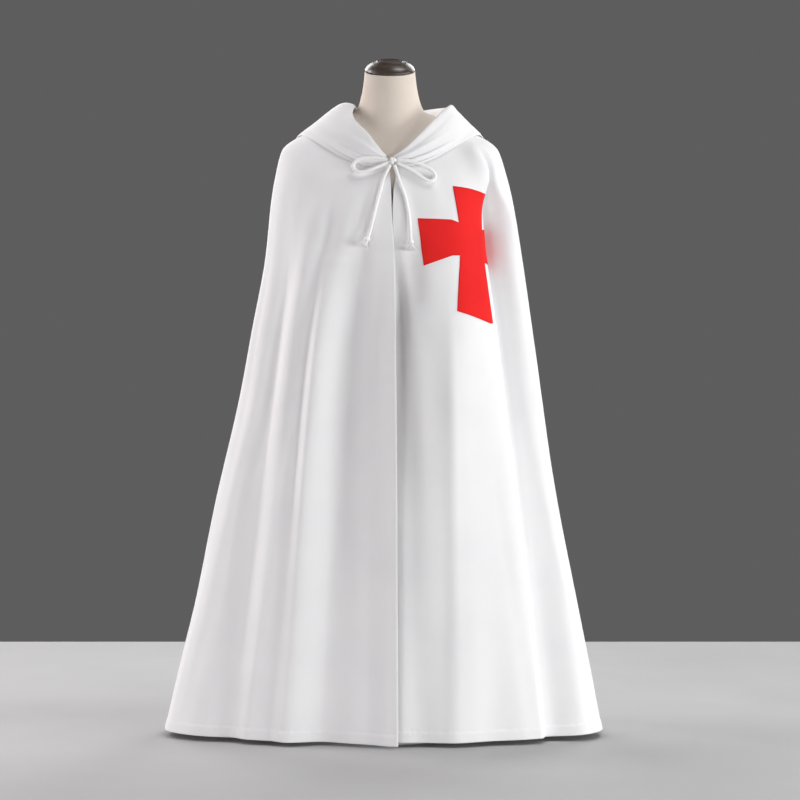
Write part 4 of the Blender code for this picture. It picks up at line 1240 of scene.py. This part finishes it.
def paint_material():
    """Satin painted steel: fine orange peel and slight rubbing."""
    m = Shader("satin_paint", (.62, .62, .60), .42)
    place = m.place()
    m.bump(m.noise(place, Scale=420.0, Detail=2.0), .08, .0004)
    rub = m.noise(place, Scale=14.0, Detail=5.0, Roughness=.6)
    m.rough(rub, .35, .7, .36, .52)
    m.ramp(rub, (.3, (.56, .56, .545)), (.7, (.66, .66, .64)))
    return m.material


def floor_material():
    m = Shader("pale_floor", (.44, .44, .44), .85)
    m.ramp(m.noise(m.place(), Scale=3.0, Detail=3.0), (0.0, (.40, .40, .40)), (1.0, (.47, .47, .47)))
    return m.material


def area_light(light):
    data = bpy.data.lights.new(light.name, "AREA")
    data.shape = "DISK"
    data.size = light.wide
    data.energy = light.power
    data.color = light.colour
    item = bpy.data.objects.new(light.name, data)
    item.location = light.at
    item.rotation_euler = (Vector(LIGHT_AIM) - Vector(light.at)).to_track_quat("-Z", "Y").to_euler()
    bpy.context.scene.collection.objects.link(item)


# Camera
camera = bpy.data.objects.new("camera", bpy.data.cameras.new("camera"))
camera.location = CAMERA_AT
camera.rotation_euler = (math.radians(90.0), 0.0, 0.0)
camera.data.lens = CAMERA_LENS
camera.data.sensor_width = CAMERA_SENSOR
bpy.context.scene.collection.objects.link(camera)
bpy.context.scene.camera = camera

# Materials
white = weave_material(WHITE_CLOTH)
red = weave_material(RED_CLOTH)
linen = weave_material(FORM_LINEN)
cotton = cord_material()
thread = thread_material("sewing_thread", (.90, .90, .905), (.80, .80, .815))
# Red thread, darker than the cross, so its stitches near the edge also paint the shade along the cross's
# turned edge
red_thread_as_edge_shade = thread_material("red_thread_as_edge_shade", (.44, .006, .008), (.32, .004, .006))
wood = wood_material()
paint = paint_material()

# Cape panels' surfaces
right_grid, right_out = panel(RIGHT_FOLDS, RIGHT_CREASES, RIGHT_DRAGS, FRONT_FINER, seed=11)
left_grid, left_out = panel(LEFT_FOLDS, LEFT_CREASES, LEFT_DRAGS, FRONT_FINER, seed=12, wearers_left=True)
back_grid, back_out = panel(BACK_FOLDS, BACK_CREASES, BACK_DRAGS, BACK_FINER, seed=13, behind=True)
fronts = (right_grid, left_grid)

# Tie
knot = knot_piece(route_points([KNOT_AT], fronts)[0], cotton)
for side, route in (("right", LOOP_RIGHT), ("left", LOOP_LEFT)):
    points = route_points(route, fronts)
    item, path, length = cord_piece("bow_loop_" + side, points, "tie_loop_" + side, cotton)
for side, route, seed, lean in (("right", TAIL_RIGHT, 21, TUFT_LEAN), ("left", TAIL_LEFT, 22, 0.0)):
    points = route_points(route, fronts)
    item, path, length = cord_piece("bow_tail_" + side, points, "tie_tail_" + side, cotton)
    way = unit(path[-1] - path[-1 - TUFT_AIM_STEPS]) - np.array((lean, 0.0, 0.0))
    tuft = tuft_piece("tail_tuft_" + side, path[-1], way, "tail_knot_" + side, seed, cotton)

# Cape
for node, grid, out in (("cape_front_right", right_grid, right_out),
                        ("cape_front_left", left_grid, left_out),
                        ("cape_back", back_grid, back_out)):
    item = settle(grid_object(node + "_cloth", grid, out, white, CLOTH, 1.0), node)
    way = lengths_along(grid[:, HEM_COLUMN])
    row = int(np.argmin(np.abs(way - (way[-1] - HEM))))
    stitch_row(node + "_hem_stitches", grid[row] + out[row] * CLOTH, out[row], thread)
    if node != "cape_back":
        places, ways = edge_line(grid[EDGE_HEM_ROW:row], out[EDGE_HEM_ROW:row], EDGE_HEM)
        stitch_row(node + "_edge_stitches", places + ways * CLOTH, ways, thread)

# Hood
for side, wearers_left in (("right", False), ("left", True)):
    grid = hood_grid(wearers_left)
    out = grid_normals(grid)
    if out[0, :, 2].mean() > 0.0:
        out = -out
    node = "hood_" + side
    item = settle(grid_object(node + "_cloth", grid, out, white, HOOD_CLOTH, 0.0), node)
    from_edge, its_out = (np.swapaxes(a, 0, 1)[HOOD_EDGE_COLUMN:, ::-1] for a in (grid, out))
    places, ways = edge_line(from_edge, its_out, EDGE_HEM)
    for face, way in (("_outer", ways), ("_inner", -ways)):
        points = places + way * HOOD_CLOTH / 2.0
        stitch_row(node + face + "_stitches", points, way, thread)

# Cross
cross, field = cross_piece(left_grid, left_out, red)
cross_area()
marks = []
corners = cross_outline(CROSS_STITCH_IN)
for p, q in zip(corners, corners[1:]):
    count = max(2, round(math.dist(p, q) / CROSS_MARKS))
    marks += [(p[0] + (q[0] - p[0]) * k / count, p[1] + (q[1] - p[1]) * k / count) for k in range(count)]
places, ways = on_cloth(field, marks)
if ways[:, 1].mean() > 0.0:
    ways = -ways
# Real stitches whose dark red also serves as painted shade along the cross's edge
stitch_row("cross_stitches", places + ways * CROSS_CLOTH, ways, red_thread_as_edge_shade)

# Form and stand
form_piece(linen)
cap_piece(wood)
for node in ("stand_pole", "stand_base"):
    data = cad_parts[node].data
    data.materials.clear()
    data.materials.append(paint)

# Floor and light
floor_corners = [(x, y, 0.0) for x, y in ((-FLOOR_HALF, FLOOR_FRONT), (FLOOR_HALF, FLOOR_FRONT),
                                          (FLOOR_HALF, FLOOR_BACK), (-FLOOR_HALF, FLOOR_BACK))]
floor = mesh_piece("floor", floor_corners, [(0, 1, 2, 3)], floor_material(), smooth=False)
world = bpy.data.worlds.new("studio")
world.use_nodes = True
world.node_tree.nodes["Background"].inputs["Color"].default_value = WORLD_COLOUR
world.node_tree.nodes["Background"].inputs["Strength"].default_value = WORLD_STRENGTH
bpy.context.scene.world = world
bpy.context.scene.view_settings.view_transform = "Standard"
for light in LIGHTS:
    area_light(light)
